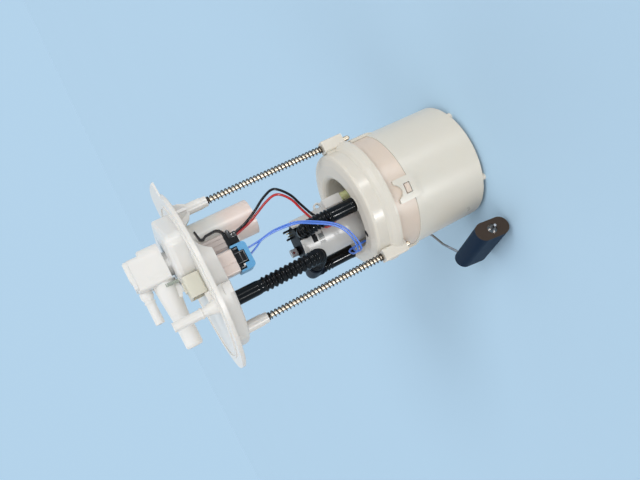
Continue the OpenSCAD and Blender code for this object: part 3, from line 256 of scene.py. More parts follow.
def mouldedPlastic(name, look):
    # one recipe for every moulded, sprayed or pressed surface; its values come from the look
    material, tree, shader, place = newMaterial(
        name, glow=look.get("glow", 0), clear=look.get("clear", 0), shine=look.get("shine", 0.5),
        ior=look.get("ior", 1.5))
    mottle = addGroup(
        tree, "mottle", place, Colour=(*look["colour"], 1), Shade=(*look["shade"], 1),
        Cloud_Scale=look.get("cloud", 60), Cloud_Amount=look.get("amount", 0.5),
        Grain_Scale=look.get("grain", 1400), Gloss=look["gloss"], Gloss_Spread=look.get("spread", 0.08))
    colour = mottle.outputs["Colour"]
    for tint in look.get("tints", []):
        mask = addGroup(tree, "band", place, Direction=tint["direction"], From=tint["from"], To=tint["to"])
        mix = addNode(tree, "ShaderNodeMix", data_type="RGBA")
        join(tree, mask.outputs["Mask"], mix.inputs["Factor"])
        join(tree, colour, mix.inputs["A"])
        mix.inputs["B"].default_value = (*tint["colour"], 1)
        colour = mix.outputs["Result"]
    join(tree, colour, shader.inputs["Base Color"])
    join(tree, mottle.outputs["Roughness"], shader.inputs["Roughness"])
    addBump(tree, shader, mottle.outputs["Height"], look.get("bump", 0.12), mm(0.05))
    return material


def drawnMetal(name, look):
    # wire, rod and pressed metal: lines along the draw, with dull and bright stretches
    material, tree, shader, place = newMaterial(name, metallic=look.get("metallic", 1.0))
    mottle = addGroup(
        tree, "mottle", place, Colour=(*look["colour"], 1), Shade=(*look["shade"], 1),
        Cloud_Scale=look.get("cloud", 220), Cloud_Amount=look.get("amount", 0.6),
        Gloss=look["gloss"], Gloss_Spread=0.1)
    lines = addGroup(tree, "brushed", place, Stretch=look.get("stretch", (1, 1, 0.03)))
    join(tree, mottle.outputs["Colour"], shader.inputs["Base Color"])
    join(tree, mottle.outputs["Roughness"], shader.inputs["Roughness"])
    addBump(tree, shader, lines.outputs["Lines"], look.get("bump", 0.2), mm(0.02))
    return material


# the float's end face, which is browner than its sides, and the way it faces
floatTurn = math.radians(13.2)
floatFace = Vector((math.sin(floatTurn), -math.cos(floatTurn), 0))
nutLow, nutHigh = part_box("push_nut")
floatEnd = floatFace.dot((nutLow + nutHigh) / 2) - mm(0.7)

# heights between which the vent tube turns from white to rose
ventWhiteDownTo = mm(190)
ventRoseUpTo = mm(174)

# every finish of the module; colours are linear
looks = {
    "flangeWhite": {"colour": (0.83, 0.81, 0.77), "shade": (0.79, 0.775, 0.74), "gloss": 0.34, "glow": 0.25,
                    "shine": 0.35},
    "towerWhite": {"colour": (0.82, 0.81, 0.785), "shade": (0.78, 0.77, 0.745), "gloss": 0.30, "glow": 0.25,
                   "shine": 0.35},
    "cupWhite": {"colour": (0.735, 0.71, 0.63), "shade": (0.70, 0.675, 0.605), "gloss": 0.30, "glow": 0.25,
                 "cloud": 25},
    "ringWhite": {"colour": (0.745, 0.71, 0.635), "shade": (0.70, 0.67, 0.60), "gloss": 0.26, "glow": 0.25,
                  "cloud": 30, "shine": 0.2},
    "holderWhite": {"colour": (0.66, 0.65, 0.62), "shade": (0.58, 0.575, 0.55), "gloss": 0.36, "glow": 0.2},
    "sleeveRose": {"colour": (0.76, 0.64, 0.54), "shade": (0.71, 0.60, 0.51), "gloss": 0.36, "glow": 0.3,
                   "cloud": 30},
    "headerRose": {"colour": (0.88, 0.73, 0.66), "shade": (0.83, 0.69, 0.62), "gloss": 0.36, "glow": 0.3},
    "ventTube": {"colour": (0.88, 0.86, 0.80), "shade": (0.84, 0.82, 0.76), "gloss": 0.36, "glow": 0.3,
                 "tints": [{"direction": (0, 0, -1), "from": -ventWhiteDownTo, "to": -ventRoseUpTo,
                            "colour": (0.88, 0.73, 0.66)}]},
    "connectorCream": {"colour": (0.67, 0.65, 0.55), "shade": (0.64, 0.605, 0.51), "gloss": 0.36,
                       "glow": 0.25},
    "lockBlue": {"colour": (0.085, 0.355, 0.645), "shade": (0.07, 0.31, 0.59), "gloss": 0.32, "glow": 0.2},
    "plugBlack": {"colour": (0.004, 0.004, 0.005), "shade": (0.010, 0.009, 0.010), "gloss": 0.26,
                  "ior": 1.25},
    # latch bars: lighter grey than the black plug, a painted highlight along their edges
    "latchHighlightGrey": {"colour": (0.13, 0.13, 0.135), "shade": (0.06, 0.06, 0.065), "gloss": 0.26, "shine": 0.6},
    "leverBlack": {"colour": (0.014, 0.010, 0.009), "shade": (0.035, 0.026, 0.024), "gloss": 0.22,
                   "ior": 1.35},
    "headerGrey": {"colour": (0.62, 0.53, 0.48), "shade": (0.54, 0.46, 0.42), "gloss": 0.32},
    "bootGrey": {"colour": (0.040, 0.034, 0.032), "shade": (0.075, 0.066, 0.062), "gloss": 0.26, "bump": 0.3,
                 "shine": 0.6},
    "sealWhite": {"colour": (0.72, 0.70, 0.68), "shade": (0.62, 0.60, 0.58), "gloss": 0.5},
    "hoseBlack": {"colour": (0.003, 0.003, 0.003), "shade": (0.006, 0.005, 0.005), "gloss": 0.15,
                  "spread": 0.04, "cloud": 160, "ior": 1.27, "bump": 0.05},
    "elbowNavy": {"colour": (0.003, 0.005, 0.012), "shade": (0.006, 0.009, 0.020), "gloss": 0.42,
                  "cloud": 120, "ior": 1.14},
    "leadBlue": {"colour": (0.09, 0.24, 0.80), "shade": (0.06, 0.17, 0.72), "gloss": 0.3, "cloud": 160},
    "leadRed": {"colour": (0.62, 0.018, 0.016), "shade": (0.50, 0.012, 0.012), "gloss": 0.3, "cloud": 160},
    "leadBlack": {"colour": (0.006, 0.006, 0.007), "shade": (0.012, 0.011, 0.012), "gloss": 0.24,
                  "ior": 1.3, "cloud": 160},
    "headBlack": {"colour": (0.003, 0.003, 0.004), "shade": (0.007, 0.007, 0.008), "gloss": 0.40,
                  "ior": 1.12},
    "floatFoam": {"colour": (0.003, 0.013, 0.034), "shade": (0.005, 0.019, 0.048), "gloss": 0.46,
                  "grain": 2600, "bump": 0.4, "cloud": 160, "ior": 1.15,
                  "tints": [{"direction": tuple(floatFace), "from": floatEnd - mm(0.5),
                             "to": floatEnd - mm(0.1), "colour": (0.050, 0.036, 0.028)}]},
    "strainerCloth": {"colour": (0.62, 0.63, 0.56), "shade": (0.50, 0.51, 0.45), "gloss": 0.8, "bump": 0.8,
                      "grain": 3200},
    "filterPaper": {"colour": (0.60, 0.50, 0.30), "shade": (0.52, 0.43, 0.25), "gloss": 0.85, "bump": 0.6},
    "riserGreen": {"colour": (0.66, 0.68, 0.36), "shade": (0.58, 0.60, 0.30), "gloss": 0.3, "glow": 0.3},
    "valveClear": {"colour": (0.42, 0.41, 0.42), "shade": (0.32, 0.31, 0.32), "gloss": 0.16, "clear": 0.35},
    "valveDot": {"colour": (0.16, 0.012, 0.010), "shade": (0.10, 0.008, 0.007), "gloss": 0.4},
    "senderWhite": {"colour": (0.76, 0.75, 0.70), "shade": (0.70, 0.69, 0.64), "gloss": 0.42, "glow": 0.2},
    "cardCeramic": {"colour": (0.68, 0.72, 0.70), "shade": (0.60, 0.66, 0.64), "gloss": 0.35},
    "inletGrey": {"colour": (0.42, 0.42, 0.43), "shade": (0.36, 0.36, 0.37), "gloss": 0.45},
    # grey-green for the block in the gap beside the vapour nozzle's root: painted shade
    "gapShadeGreen": {"colour": (0.40, 0.44, 0.38), "shade": (0.34, 0.38, 0.33), "gloss": 0.45},
    "wheelBlack": {"colour": (0.012, 0.010, 0.009), "shade": (0.024, 0.020, 0.018), "gloss": 0.45,
                   "shine": 0.35},
    "ferrite": {"colour": (0.035, 0.035, 0.04), "shade": (0.06, 0.06, 0.065), "gloss": 0.6, "bump": 0.4},
    "sealRubber": {"colour": (0.09, 0.012, 0.010), "shade": (0.07, 0.010, 0.009), "gloss": 0.55},
    "foamBlack": {"colour": (0.004, 0.004, 0.005), "shade": (0.010, 0.009, 0.010), "gloss": 0.6, "bump": 0.5,
                  "shine": 0.25},
    "stickerGrey": {"colour": (0.20, 0.21, 0.21), "shade": (0.15, 0.16, 0.16), "gloss": 0.5},
}
metals = {
    # spring wire: its own darker steel, made darker still as painted shade of the gaps between the turns
    "springWireAndShade": {"colour": (0.075, 0.052, 0.034), "shade": (0.035, 0.024, 0.016), "gloss": 0.26,
                   "metallic": 0.6},
    "rodSteel": {"colour": (0.62, 0.53, 0.41), "shade": (0.50, 0.42, 0.31), "gloss": 0.34,
                 "metallic": 0.45, "cloud": 120},
    "armSteel": {"colour": (0.34, 0.34, 0.35), "shade": (0.20, 0.20, 0.21), "gloss": 0.30},
    "canSteel": {"colour": (0.62, 0.63, 0.65), "shade": (0.52, 0.53, 0.55), "gloss": 0.28},
    "nutSteel": {"colour": (0.24, 0.22, 0.21), "shade": (0.05, 0.045, 0.04), "gloss": 0.20, "cloud": 600,
                 "amount": 1.0},
    "pinBrass": {"colour": (0.66, 0.47, 0.18), "shade": (0.55, 0.38, 0.14), "gloss": 0.28},
    "windingCopper": {"colour": (0.50, 0.20, 0.09), "shade": (0.38, 0.14, 0.06), "gloss": 0.35,
                      "stretch": (1, 1, 0.05)},
}
finishes = {name: mouldedPlastic(name, look) for name, look in looks.items()}
finishes.update({name: drawnMetal(name, look) for name, look in metals.items()})
print("finishes mixed:", len(finishes))


# CAD nodes and the finish that each one shows
nodeFinish = {
    "flange_cover": "flangeWhite", "vapour_chamber": "towerWhite", "valve_tower": "towerWhite",
    "tower_cap": "towerWhite", "outer_connector": "connectorCream", "outer_terminals": "pinBrass",
    "valve_tube": "ventTube", "valve_float": "inletGrey", "valve_spring": "springWireAndShade",
    "valve_tube_cap": "ventTube", "sender_header": "headerRose", "header_terminals": "pinBrass",
    "sender_plug": "plugBlack", "plug_lock_frame": "lockBlue", "pump_header": "headerGrey",
    "pump_header_terminals": "pinBrass", "pump_plug": "plugBlack", "lock_lever": "leverBlack",
    "wire_boot": "bootGrey", "guide_rods": "rodSteel", "reservoir_cup": "cupWhite",
    "inner_sleeve": "sleeveRose", "filter_ring": "ringWhite", "filter_base": "ringWhite",
    "filter_element": "filterPaper", "pump_holder": "holderWhite", "pump_can": "canSteel",
    "pump_magnets": "ferrite", "pump_armature": "windingCopper", "pump_wheel": "wheelBlack",
    "pump_inlet": "inletGrey", "pump_isolator": "wheelBlack", "pump_head": "headBlack",
    "relief_valve": "valveClear", "pump_terminals": "pinBrass", "suction_strainer": "strainerCloth",
    "jet_pump": "wheelBlack", "riser_tube": "riserGreen", "foot_valve": "sealRubber",
    "sender_body": "senderWhite", "sender_card": "cardCeramic", "sender_contacts": "pinBrass",
    "arm_hub": "leverBlack", "float_arm": "armSteel", "level_float": "floatFoam", "push_nut": "nutSteel",
}
for nodeName, finishName in nodeFinish.items():
    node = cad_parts[nodeName]
    node.data.materials.clear()
    node.data.materials.append(finishes[finishName])
print("CAD nodes dressed:", len(nodeFinish))


# shared ways to make a piece
def keepPiece(name, form, body, finishName, stands=(), smoothAngle=40):
    # a finished bmesh becomes a piece that rides on a body
    bmesh.ops.remove_doubles(form, verts=form.verts, dist=mm(0.001))
    bmesh.ops.recalc_face_normals(form, faces=form.faces)
    for face in form.faces:
        face.smooth = True
    mesh = bpy.data.meshes.new(name)
    form.to_mesh(mesh)
    form.free()
    mesh.set_sharp_from_angle(angle=math.radians(smoothAngle))
    mesh.materials.append(finishes[finishName])
    piece = bpy.data.objects.new(name, mesh)
    scene.collection.objects.link(piece)
    if body:
        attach(piece, body)
    if stands:
        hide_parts(*stands)
    return piece


def smoothLine(points, steps):
    # a smooth line through the points, as the CAD hoses and leads have it
    line = []
    last = len(points) - 1
    for i in range(last):
        a = points[max(i - 1, 0)]
        b = points[i]
        c = points[i + 1]
        d = points[min(i + 2, last)]
        for k in range(steps):
            t = k / steps
            line.append(0.5 * (2 * b + (c - a) * t + (2 * a - 5 * b + 4 * c - d) * t * t
                               + (3 * b - a - 3 * c + d) * t ** 3))
    line.append(points[-1])
    return line


def evenLine(points, gap):
    # the same line with points at even gaps
    lengths = [0.0]
    for a, b in zip(points, points[1:]):
        lengths.append(lengths[-1] + (b - a).length)
    count = max(2, round(lengths[-1] / gap))
    line = []
    i = 0
    for k in range(count + 1):
        want = lengths[-1] * k / count
        while i < len(points) - 2 and lengths[i + 1] < want:
            i += 1
        share = (want - lengths[i]) / max(lengths[i + 1] - lengths[i], 1e-9)
        line.append(points[i].lerp(points[i + 1], min(max(share, 0), 1)))
    return line, lengths[-1]


def sweepTube(line, radiusAt, sides):
    # one circle drawn out along the line; radiusAt gives the radius at a distance from its start
    form = bmesh.new()
    ahead = (line[1] - line[0]).normalized()
    turn = Vector((0, 0, 1)).rotation_difference(ahead)
    place = Matrix.Translation(line[0]) @ turn.to_matrix().to_4x4()
    ring = bmesh.ops.create_circle(form, segments=sides, radius=radiusAt(0.0), matrix=place)["verts"]
    edges = list(form.edges)
    firstEdges = edges
    travelled = 0.0
    for i in range(1, len(line)):
        travelled += (line[i] - line[i - 1]).length
        beyond = line[min(i + 1, len(line) - 1)]
        heading = (beyond - line[i - 1]).normalized()
        turn = ahead.rotation_difference(heading)
        out = bmesh.ops.extrude_edge_only(form, edges=edges)["geom"]
        ring = [v for v in out if isinstance(v, bmesh.types.BMVert)]
        edges = [e for e in out if isinstance(e, bmesh.types.BMEdge)]
        centre = sum((v.co for v in ring), Vector()) / len(ring)
        reach = (ring[0].co - centre).length
        scale = radiusAt(travelled) / reach
        move = (Matrix.Translation(line[i]) @ turn.to_matrix().to_4x4()
                @ Matrix.Scale(scale, 4) @ Matrix.Translation(-centre))
        bmesh.ops.transform(form, matrix=move, verts=ring)
        ahead = heading
    bmesh.ops.contextual_create(form, geom=firstEdges)
    bmesh.ops.contextual_create(form, geom=edges)
    return form


def plate(form, low, high, bevel=0.0, segments=2):
    # a block between two corners in millimetres, with its edges broken
    size = Vector(high) - Vector(low)
    centre = (Vector(high) + Vector(low)) / 2
    place = Matrix.Translation(mm(*centre)) @ Matrix.Diagonal((*mm(*size), 1))
    verts = bmesh.ops.create_cube(form, size=1.0, matrix=place)["verts"]
    if bevel:
        edges = list({e for v in verts for e in v.link_edges})
        bmesh.ops.bevel(form, geom=edges, offset=mm(bevel), segments=segments, profile=0.5, affect="EDGES",
                        clamp_overlap=True, material=-1)


def roundBar(form, start, end, radius, sides):
    # a round bar between two points in millimetres
    a = mm(*start)
    b = mm(*end)
    turn = Vector((0, 0, 1)).rotation_difference((b - a).normalized())
    place = Matrix.Translation((a + b) / 2) @ turn.to_matrix().to_4x4()
    bmesh.ops.create_cone(form, cap_ends=True, segments=sides, radius1=mm(radius), radius2=mm(radius),
                          depth=(b - a).length, matrix=place)


# springs on the guide rods
springSettings = {"turns": 34, "endTurns": 1.25, "endGap": 2.3, "wire": 0.44, "coil": 2.32,
                  "stepsPerTurn": 20, "wireSides": 8}


def addSpring(name, nodeName, settings):
    low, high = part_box(nodeName)
    centre = (low + high) / 2
    wire = mm(settings["wire"])
    coil = mm(settings["coil"])
    height = heights["socketLow"] - heights["lugTop"] - 2 * wire
    endRise = settings["endGap"] * wire
    freeTurns = settings["turns"] - 2 * settings["endTurns"]
    freeRise = (height - 2 * endRise * settings["endTurns"]) / freeTurns
    form = bmesh.new()
    start = Vector((centre.x + coil, centre.y, heights["lugTop"] + wire))
    place = Matrix.Translation(start) @ Matrix.Rotation(math.pi / 2, 4, "X")
    bmesh.ops.create_circle(form, cap_ends=True, segments=settings["wireSides"], radius=wire, matrix=place)
    geom = form.verts[:] + form.edges[:] + form.faces[:]
    stages = [(settings["endTurns"], endRise), (freeTurns, freeRise), (settings["endTurns"], endRise)]
    for turns, rise in stages:
        steps = round(turns * settings["stepsPerTurn"])
        geom = bmesh.ops.spin(
            form, geom=geom, cent=(centre.x, centre.y, 0), axis=(0, 0, 1), angle=2 * math.pi * turns,
            dvec=(0, 0, rise * turns / steps), steps=steps, use_duplicate=False)["geom_last"]
    # the wire's dark finish holds painted shade between the turns
    spring = keepPiece(name, form, None, "springWireAndShade", [nodeName], 60)
    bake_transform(spring)


addSpring("springLeft", "spring_left", springSettings)
addSpring("springRight", "spring_right", springSettings)
print("springs wound")


# what the four hoses share: spacing of the rings of points, and the collar at a lower end
hoseSettings = {"gap": 0.42, "sides": 24, "collar": 0.2, "collarFrom": 2.6, "collarFull": 2.2}


def ribbed(distance, settings):
    # round crests with narrower grooves
    wave = 0.5 + 0.5 * math.cos(2 * math.pi * (distance - mm(settings["firstRib"])) / mm(settings["pitch"]))
    return settings["valley"] + (settings["peak"] - settings["valley"]) * wave ** 0.8


def easeOver(value, low, high):
    t = min(max((value - low) / (high - low), 0.0), 1.0)
    return t * t * (3 - 2 * t)


def collarAt(distance, length):
    return hoseSettings["collar"] * easeOver(
        distance, length - mm(hoseSettings["collarFrom"]), length - mm(hoseSettings["collarFull"]))


def drawHose(name, nodeName, body, finishName, line, radiusAt):
    form = sweepTube(line, radiusAt, hoseSettings["sides"])
    return keepPiece(name, form, body, finishName, [nodeName], 60)


# feed hose from the flange: smooth neck, ribs below, turned back to the elbow
feedSettings = {
    "smooth": 4.8, "neckDrop": 0.45, "neckFrom": 17, "neckFull": 20.5,
    "peak": 5.25, "valley": 4.05, "pitch": 3.45, "firstRib": 22.5, "ribFade": 1.5,
    "bendTop": (0, 0, 0.142), "flangeEnd": (0, 0, 0.196),
}
feedPoints = [
    mm(-24.3, -36.3, 201.45), overRing(-24.3, -36.3, 88), overRing(-24.1, -36.8, 60),
    overRing(-23.7, -36.2, 50), overRing(-23.3, -32, 43), overRing(-24, -23, 40.6), overRing(-26.2, -9, 40.4)]


def addFeedHose(settings):
    line, length = evenLine(smoothLine(feedPoints, 12), mm(hoseSettings["gap"]))
    firstRib = mm(settings["firstRib"])
    ribFade = mm(settings["ribFade"])

    def radiusAt(distance):
        smooth = settings["smooth"] - settings["neckDrop"] * easeOver(
            distance, mm(settings["neckFrom"]), mm(settings["neckFull"]))
        share = easeOver(distance, firstRib - ribFade, firstRib)
        share *= 1 - easeOver(distance, length - ribFade, length)
        return mm(smooth * (1 - share) + ribbed(distance, settings) * share)

    hose = drawHose("feedHose", "feed_hose", None, "hoseBlack", line, radiusAt)
    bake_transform(hose)


addFeedHose(feedSettings)


# moulded elbow with a bead at each end
elbowSettings = {"radius": 5.35, "bead": 0.35, "beadAt": 2.2, "beadFlat": 0.6, "beadWidth": 1.6}
elbowPoints = [
    overRing(-26.2, -8.5, 40.4), overRing(-27.4, 4, 40.2), overRing(-27.6, 13.6, 39),
    overRing(-27.2, 20.6, 36.2), overRing(-26.7, 23.8, 31.6), overRing(-26.6, 24.3, 28)]


def addElbow(settings):
    line, length = evenLine(smoothLine(elbowPoints, 12), mm(hoseSettings["gap"]))
    beadAt = mm(settings["beadAt"])

    def radiusAt(distance):
        radius = settings["radius"]
        for away in (distance - beadAt, distance - length + beadAt):
            radius += settings["bead"] * (
                1 - easeOver(abs(away), mm(settings["beadFlat"]), mm(settings["beadWidth"])))
        return mm(radius)

    drawHose("hoseElbow", "hose_elbow", "reservoir", "elbowNavy", line, radiusAt)


addElbow(elbowSettings)


# outlet hose under the elbow: a few ribs at its top, smooth below
outletSettings = {"smooth": 5.1, "peak": 5.45, "valley": 4.5, "pitch": 2.75, "firstRib": 1.0,
                  "ribsTo": 6.4, "smoothFrom": 7.2}


def addOutletHose(settings):
    low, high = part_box("outlet_hose")
    centre = (low + high) / 2
    top = Vector((centre.x, centre.y, high.z))
    bottom = Vector((centre.x, centre.y, low.z))
    line, length = evenLine([top, bottom], mm(hoseSettings["gap"]))

    def radiusAt(distance):
        share = 1 - easeOver(distance, mm(settings["ribsTo"]), mm(settings["smoothFrom"]))
        smooth = settings["smooth"] + collarAt(distance, length)
        return mm(ribbed(distance, settings) * share + smooth * (1 - share))

    drawHose("outletHose", "outlet_hose", "reservoir", "hoseBlack", line, radiusAt)


addOutletHose(outletSettings)


# filter hose from the pump's outlet over the holder's edge: ribs round the bend, smooth below
holderTop = 134.0
filterSettings = {"smooth": 5.15, "peak": 5.55, "valley": 4.5, "pitch": 2.75, "firstRib": 2.0,
                  "ribsFrom": 0.8, "ribsFull": 2.0, "smoothLength": 18.5, "ribFade": 0.8}
filterPoints = [
    mm(-1.8, -11.75, holderTop - 1), mm(-1.8, -15, holderTop - 1.3), mm(-1.8, -20.4, holderTop - 3.6),
    mm(-1.8, -24.6, holderTop - 9), mm(-1.8, -25.6, holderTop - 17), mm(-1.8, -25.6, 96.05)]


def addFilterHose(settings):
    line, length = evenLine(smoothLine(filterPoints, 12), mm(hoseSettings["gap"]))
    smoothFrom = length - mm(settings["smoothLength"])

    def radiusAt(distance):
        share = easeOver(distance, mm(settings["ribsFrom"]), mm(settings["ribsFull"]))
        share *= 1 - easeOver(distance, smoothFrom - mm(settings["ribFade"]), smoothFrom)
        smooth = settings["smooth"] + collarAt(distance, length)
        return mm(ribbed(distance, settings) * share + smooth * (1 - share))

    drawHose("filterHose", "filter_hose", "reservoir", "hoseBlack", line, radiusAt)


addFilterHose(filterSettings)
print("hoses drawn")


# leads from the two plugs into the reservoir
plugLow = 178.0
greyLow = 187.3
leadSettings = {"sides": 12, "gap": 0.7, "fixedUpTo": mm(89.8)}
leadRoutes = {
    "blueLeadFront": ("blue_lead_front", "leadBlue", "lead_blue", 0.65, [
        mm(-3.4, -32.6, plugLow + 1.2), overRing(-0.6, -33.4, 78), overRing(2.8, -34, 71),
        overRing(3.6, -34.6, 60), overRing(2.4, -34.7, 47.4), overRing(-0.8, -34.7, 39.6),
        overRing(-8.7, -33, 24.8), overRing(-15, -30.4, 18), overRing(-23, -26.4, 13.8),
        overRing(-30.4, -17.6, 11.2), overRing(-31, -8.4, 12.2), overRing(-26.8, 3, 9.6),
        overRing(-25.4, 5.4, -5)]),
    "blueLeadRear": ("blue_lead_rear", "leadBlue", "lead_blue", 0.65, [
        mm(1.7, -32.6, plugLow + 1.2), overRing(3, -32, 73), overRing(5, -31.8, 62), overRing(4.4, -32.3, 50),
        overRing(2.6, -32.4, 42.6), overRing(-2, -32.4, 33), overRing(-8.4, -30.8, 21.8),
        overRing(-14.6, -28.6, 15.6), overRing(-22.6, -25.4, 11.4), overRing(-30.6, -19.4, 9),
        overRing(-30.8, -8, 9), overRing(-27, 0.4, 6.6), overRing(-26.2, 1.4, -5)]),
    "redLead": ("red_lead", "leadRed", "lead_red", 0.9, [
        mm(15, -20.6, greyLow - 9), overRing(18.6, -20.4, 71.4), overRing(22.6, -19.6, 63),
        overRing(27, -18.6, 54), overRing(29.2, -17.6, 46.4), overRing(27.4, -16.4, 41),
        overRing(21.2, -15.4, 35.8), overRing(13, -14.6, 32.8), overRing(3, -14.6, 29),
        overRing(-4.6, -15, 25), overRing(-6.6, -15.4, 20.4), overRing(-4.8, -15.8, 14),
        overRing(-3.6, -16, 6), overRing(-3.4, -16, -5)]),
    "blackLead": ("black_lead", "leadBlack", "lead_black", 0.9, [
        mm(16.2, -23.4, greyLow - 9), overRing(19, -22.8, 74.4), overRing(24, -22, 64.6),
        overRing(29.6, -20.8, 55.6), overRing(33, -19.6, 47), overRing(31, -18.6, 41.6),
        overRing(24, -17.8, 35.6), overRing(15.4, -17.2, 32.2), overRing(5, -17, 27.6),
        overRing(-0.4, -16.8, 21.6), overRing(-0.4, -16.6, 13), overRing(-0.4, -16.4, -5)]),
}


def addLead(name, nodeName, finishName, radius, points, settings):
    line, length = evenLine(smoothLine(points, 10), mm(settings["gap"]))
    form = sweepTube(line, lambda distance: mm(radius), settings["sides"])
    lead = keepPiece(name, form, None, finishName, [nodeName], 60)
    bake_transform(lead)


for leadName, (nodeName, finishName, slotName, radius, points) in leadRoutes.items():
    addLead(leadName, nodeName, finishName, radius, points, leadSettings)
print("leads laid")


# latch tongue and window frame on the front of the sender plug, and the small pale stop beside them
latchSettings = {
    "middle": -2.3, "front": -38.6, "top": 187.6, "bottom": 181.4, "halfWidth": 3.4, "edge": 0.22,
    "crossbar": 184.3, "catches": (-7.0, 5.9), "catchWidth": 1.0, "catchLow": 184.4, "catchHigh": 187.3,
    "stopLeft": -8.4, "stopRight": -6.9, "stopLow": 183.5, "stopHigh": 185.2,
}


def addPlugLatch(settings):
    middle, front, edge = settings["middle"], settings["front"], settings["edge"]
    left = middle - settings["halfWidth"]
    right = middle + settings["halfWidth"]
    form = bmesh.new()
    for x in (left, right):
        plate(form, (x - edge, front - 0.45, settings["bottom"]),
              (x + edge, front + 0.6, settings["top"]), 0.1)
    for z in (settings["bottom"], settings["crossbar"]):
        plate(form, (left, front - 0.4, z), (right, front + 0.6, z + 2 * edge), 0.1)
    for offset in settings["catches"]:
        x = middle + offset
        plate(form, (x, front - 0.2, settings["catchLow"]),
              (x + settings["catchWidth"], front + 0.9, settings["catchHigh"]), 0.12)
    # the latch bars take a lighter grey than the black plug: painted highlights on their edges
    keepPiece("plugLatch", form, "flange", "latchHighlightGrey")
    form = bmesh.new()
    plate(form, (settings["stopLeft"], front - 0.35, settings["stopLow"]),
          (settings["stopRight"], front + 0.4, settings["stopHigh"]), 0.15)
    keepPiece("plugStop", form, "flange", "sealWhite")


addPlugLatch(latchSettings)


# soft boot on the pump plug: a core in two round bulges with a groove between them
bootSettings = {
    "left": 13.4, "front": -26.3, "back": -17.5, "low": 177.7, "groove": 181.3, "top": 184.9,
    "coreWidth": 3.4, "upperWidth": 6.3, "lowerWidth": 4.1, "strapWidth": 6.5, "strapGap": 3.1,
}


def addBoot(settings):
    left, front, back = settings["left"], settings["front"], settings["back"]
    groove = settings["groove"]
    form = bmesh.new()
    plate(form, (left + 0.1, front + 0.6, settings["low"] + 0.4),
          (left + settings["coreWidth"], back - 0.6, settings["top"] - 0.2), 0.5)
    plate(form, (left, front, groove + 0.2), (left + settings["upperWidth"], back, settings["top"]), 1.5, 5)
    plate(form, (left, front + 0.1, settings["low"]),
          (left + settings["lowerWidth"], back - 0.1, groove - 0.2), 1.4, 5)
    for y in (front - 0.1, front - 0.1 + settings["strapGap"]):
        # the strap's two turned edges over the boot
        plate(form, (left + 0.6, y, groove + 1.2),
              (left + settings["strapWidth"], y + 0.5, groove + 2.2), 0.2)
    keepPiece("wireBoot", form, "flange", "bootGrey", ["wire_boot"], 60)


addBoot(bootSettings)


# ribbed grey-green block in the gap between the chamber and the root of the vapour nozzle: painted shade of
# that gap
gapShadeSettings = {"left": 4.9, "right": 7.3, "front": -11.1, "low": 223.6, "high": 233.0, "ribs": 8,
                "depth": 3.2, "ribDepth": 1.2, "ribShare": 0.6}


def addTowerGapShade(settings):
    left, right, front = settings["left"], settings["right"], settings["front"]
    form = bmesh.new()
    plate(form, (left + 0.15, front + 0.4, settings["low"]),
          (right - 0.15, front + settings["depth"], settings["high"]), 0.2)
    step = (settings["high"] - settings["low"]) / settings["ribs"]
    for k in range(settings["ribs"]):
        z = settings["low"] + k * step
        plate(form, (left, front, z),
              (right, front + settings["ribDepth"], z + settings["ribShare"] * step), 0.15)
    # the grey-green block is painted shade of the gap
    keepPiece("towerGapShade", form, "flange", "gapShadeGreen")


addTowerGapShade(gapShadeSettings)


# small marks of one simple shape each, in millimetres
smallPieces = {
    # seal that shows under the pump plug
    "plugSeal": {"low": (9.4, -26.0, 177.6), "high": (13.2, -18.4, 178.3), "edge": 0.2,
                 "body": "flange", "finish": "sealWhite", "slot": "rose_plastic"},
    # dark disc in the ring's drain hole: painted shade for the dark inside seen through the hole
    "drainHoleShade": {"start": (-23.4, -18.8, 94.4), "end": (-23.4, -18.8, 95.0), "radius": 2.75, "sides": 32,
                  "body": "reservoir", "finish": "foamBlack", "slot": "seal_rubber"},
    # what shows in the holder's two windows
    "windowBlack": {"low": (-11.6, -9.9, 126.0), "high": (-6.3, -8.9, 129.2), "edge": 0.1,
                    "body": "reservoir", "finish": "foamBlack", "slot": "black_plastic"},
    "windowBack": {"low": (-14.9, -9.35, 120.8), "high": (-6.4, -8.2, 124.7), "edge": 0.1,
                   "body": "reservoir", "finish": "holderWhite", "slot": "white_plastic"},
    "gripPatch": {"low": (-10.7, -9.95, 117.4), "high": (-7.5, -8.6, 124.2), "edge": 0.15,
                  "body": "reservoir", "finish": "stickerGrey", "slot": "grey_plastic"},
    # pale ball by the pump's end, and the red dot in the relief valve
    "headBall": {"centre": (-8.0, -7.6, 134.9), "radius": 0.8,
                 "body": "reservoir", "finish": "sealWhite", "slot": "white_plastic"},
    "reliefDot": {"start": (-9.9, 8.5, 140.8), "end": (-9.9, 9.6, 140.8), "radius": 0.85, "sides": 20,
                  "body": "reservoir", "finish": "valveDot", "slot": "seal_rubber"},
}


def addSmallPiece(name, settings):
    form = bmesh.new()
    if "low" in settings:
        plate(form, settings["low"], settings["high"], settings["edge"])
    elif "start" in settings:
        roundBar(form, settings["start"], settings["end"], settings["radius"], settings["sides"])
    else:
        bmesh.ops.create_uvsphere(form, u_segments=20, v_segments=12, radius=mm(settings["radius"]),
                                  matrix=Matrix.Translation(mm(*settings["centre"])))
    keepPiece(name, form, settings["body"], settings["finish"])


for pieceName, pieceSettings in smallPieces.items():
    addSmallPiece(pieceName, pieceSettings)
print("small pieces placed")


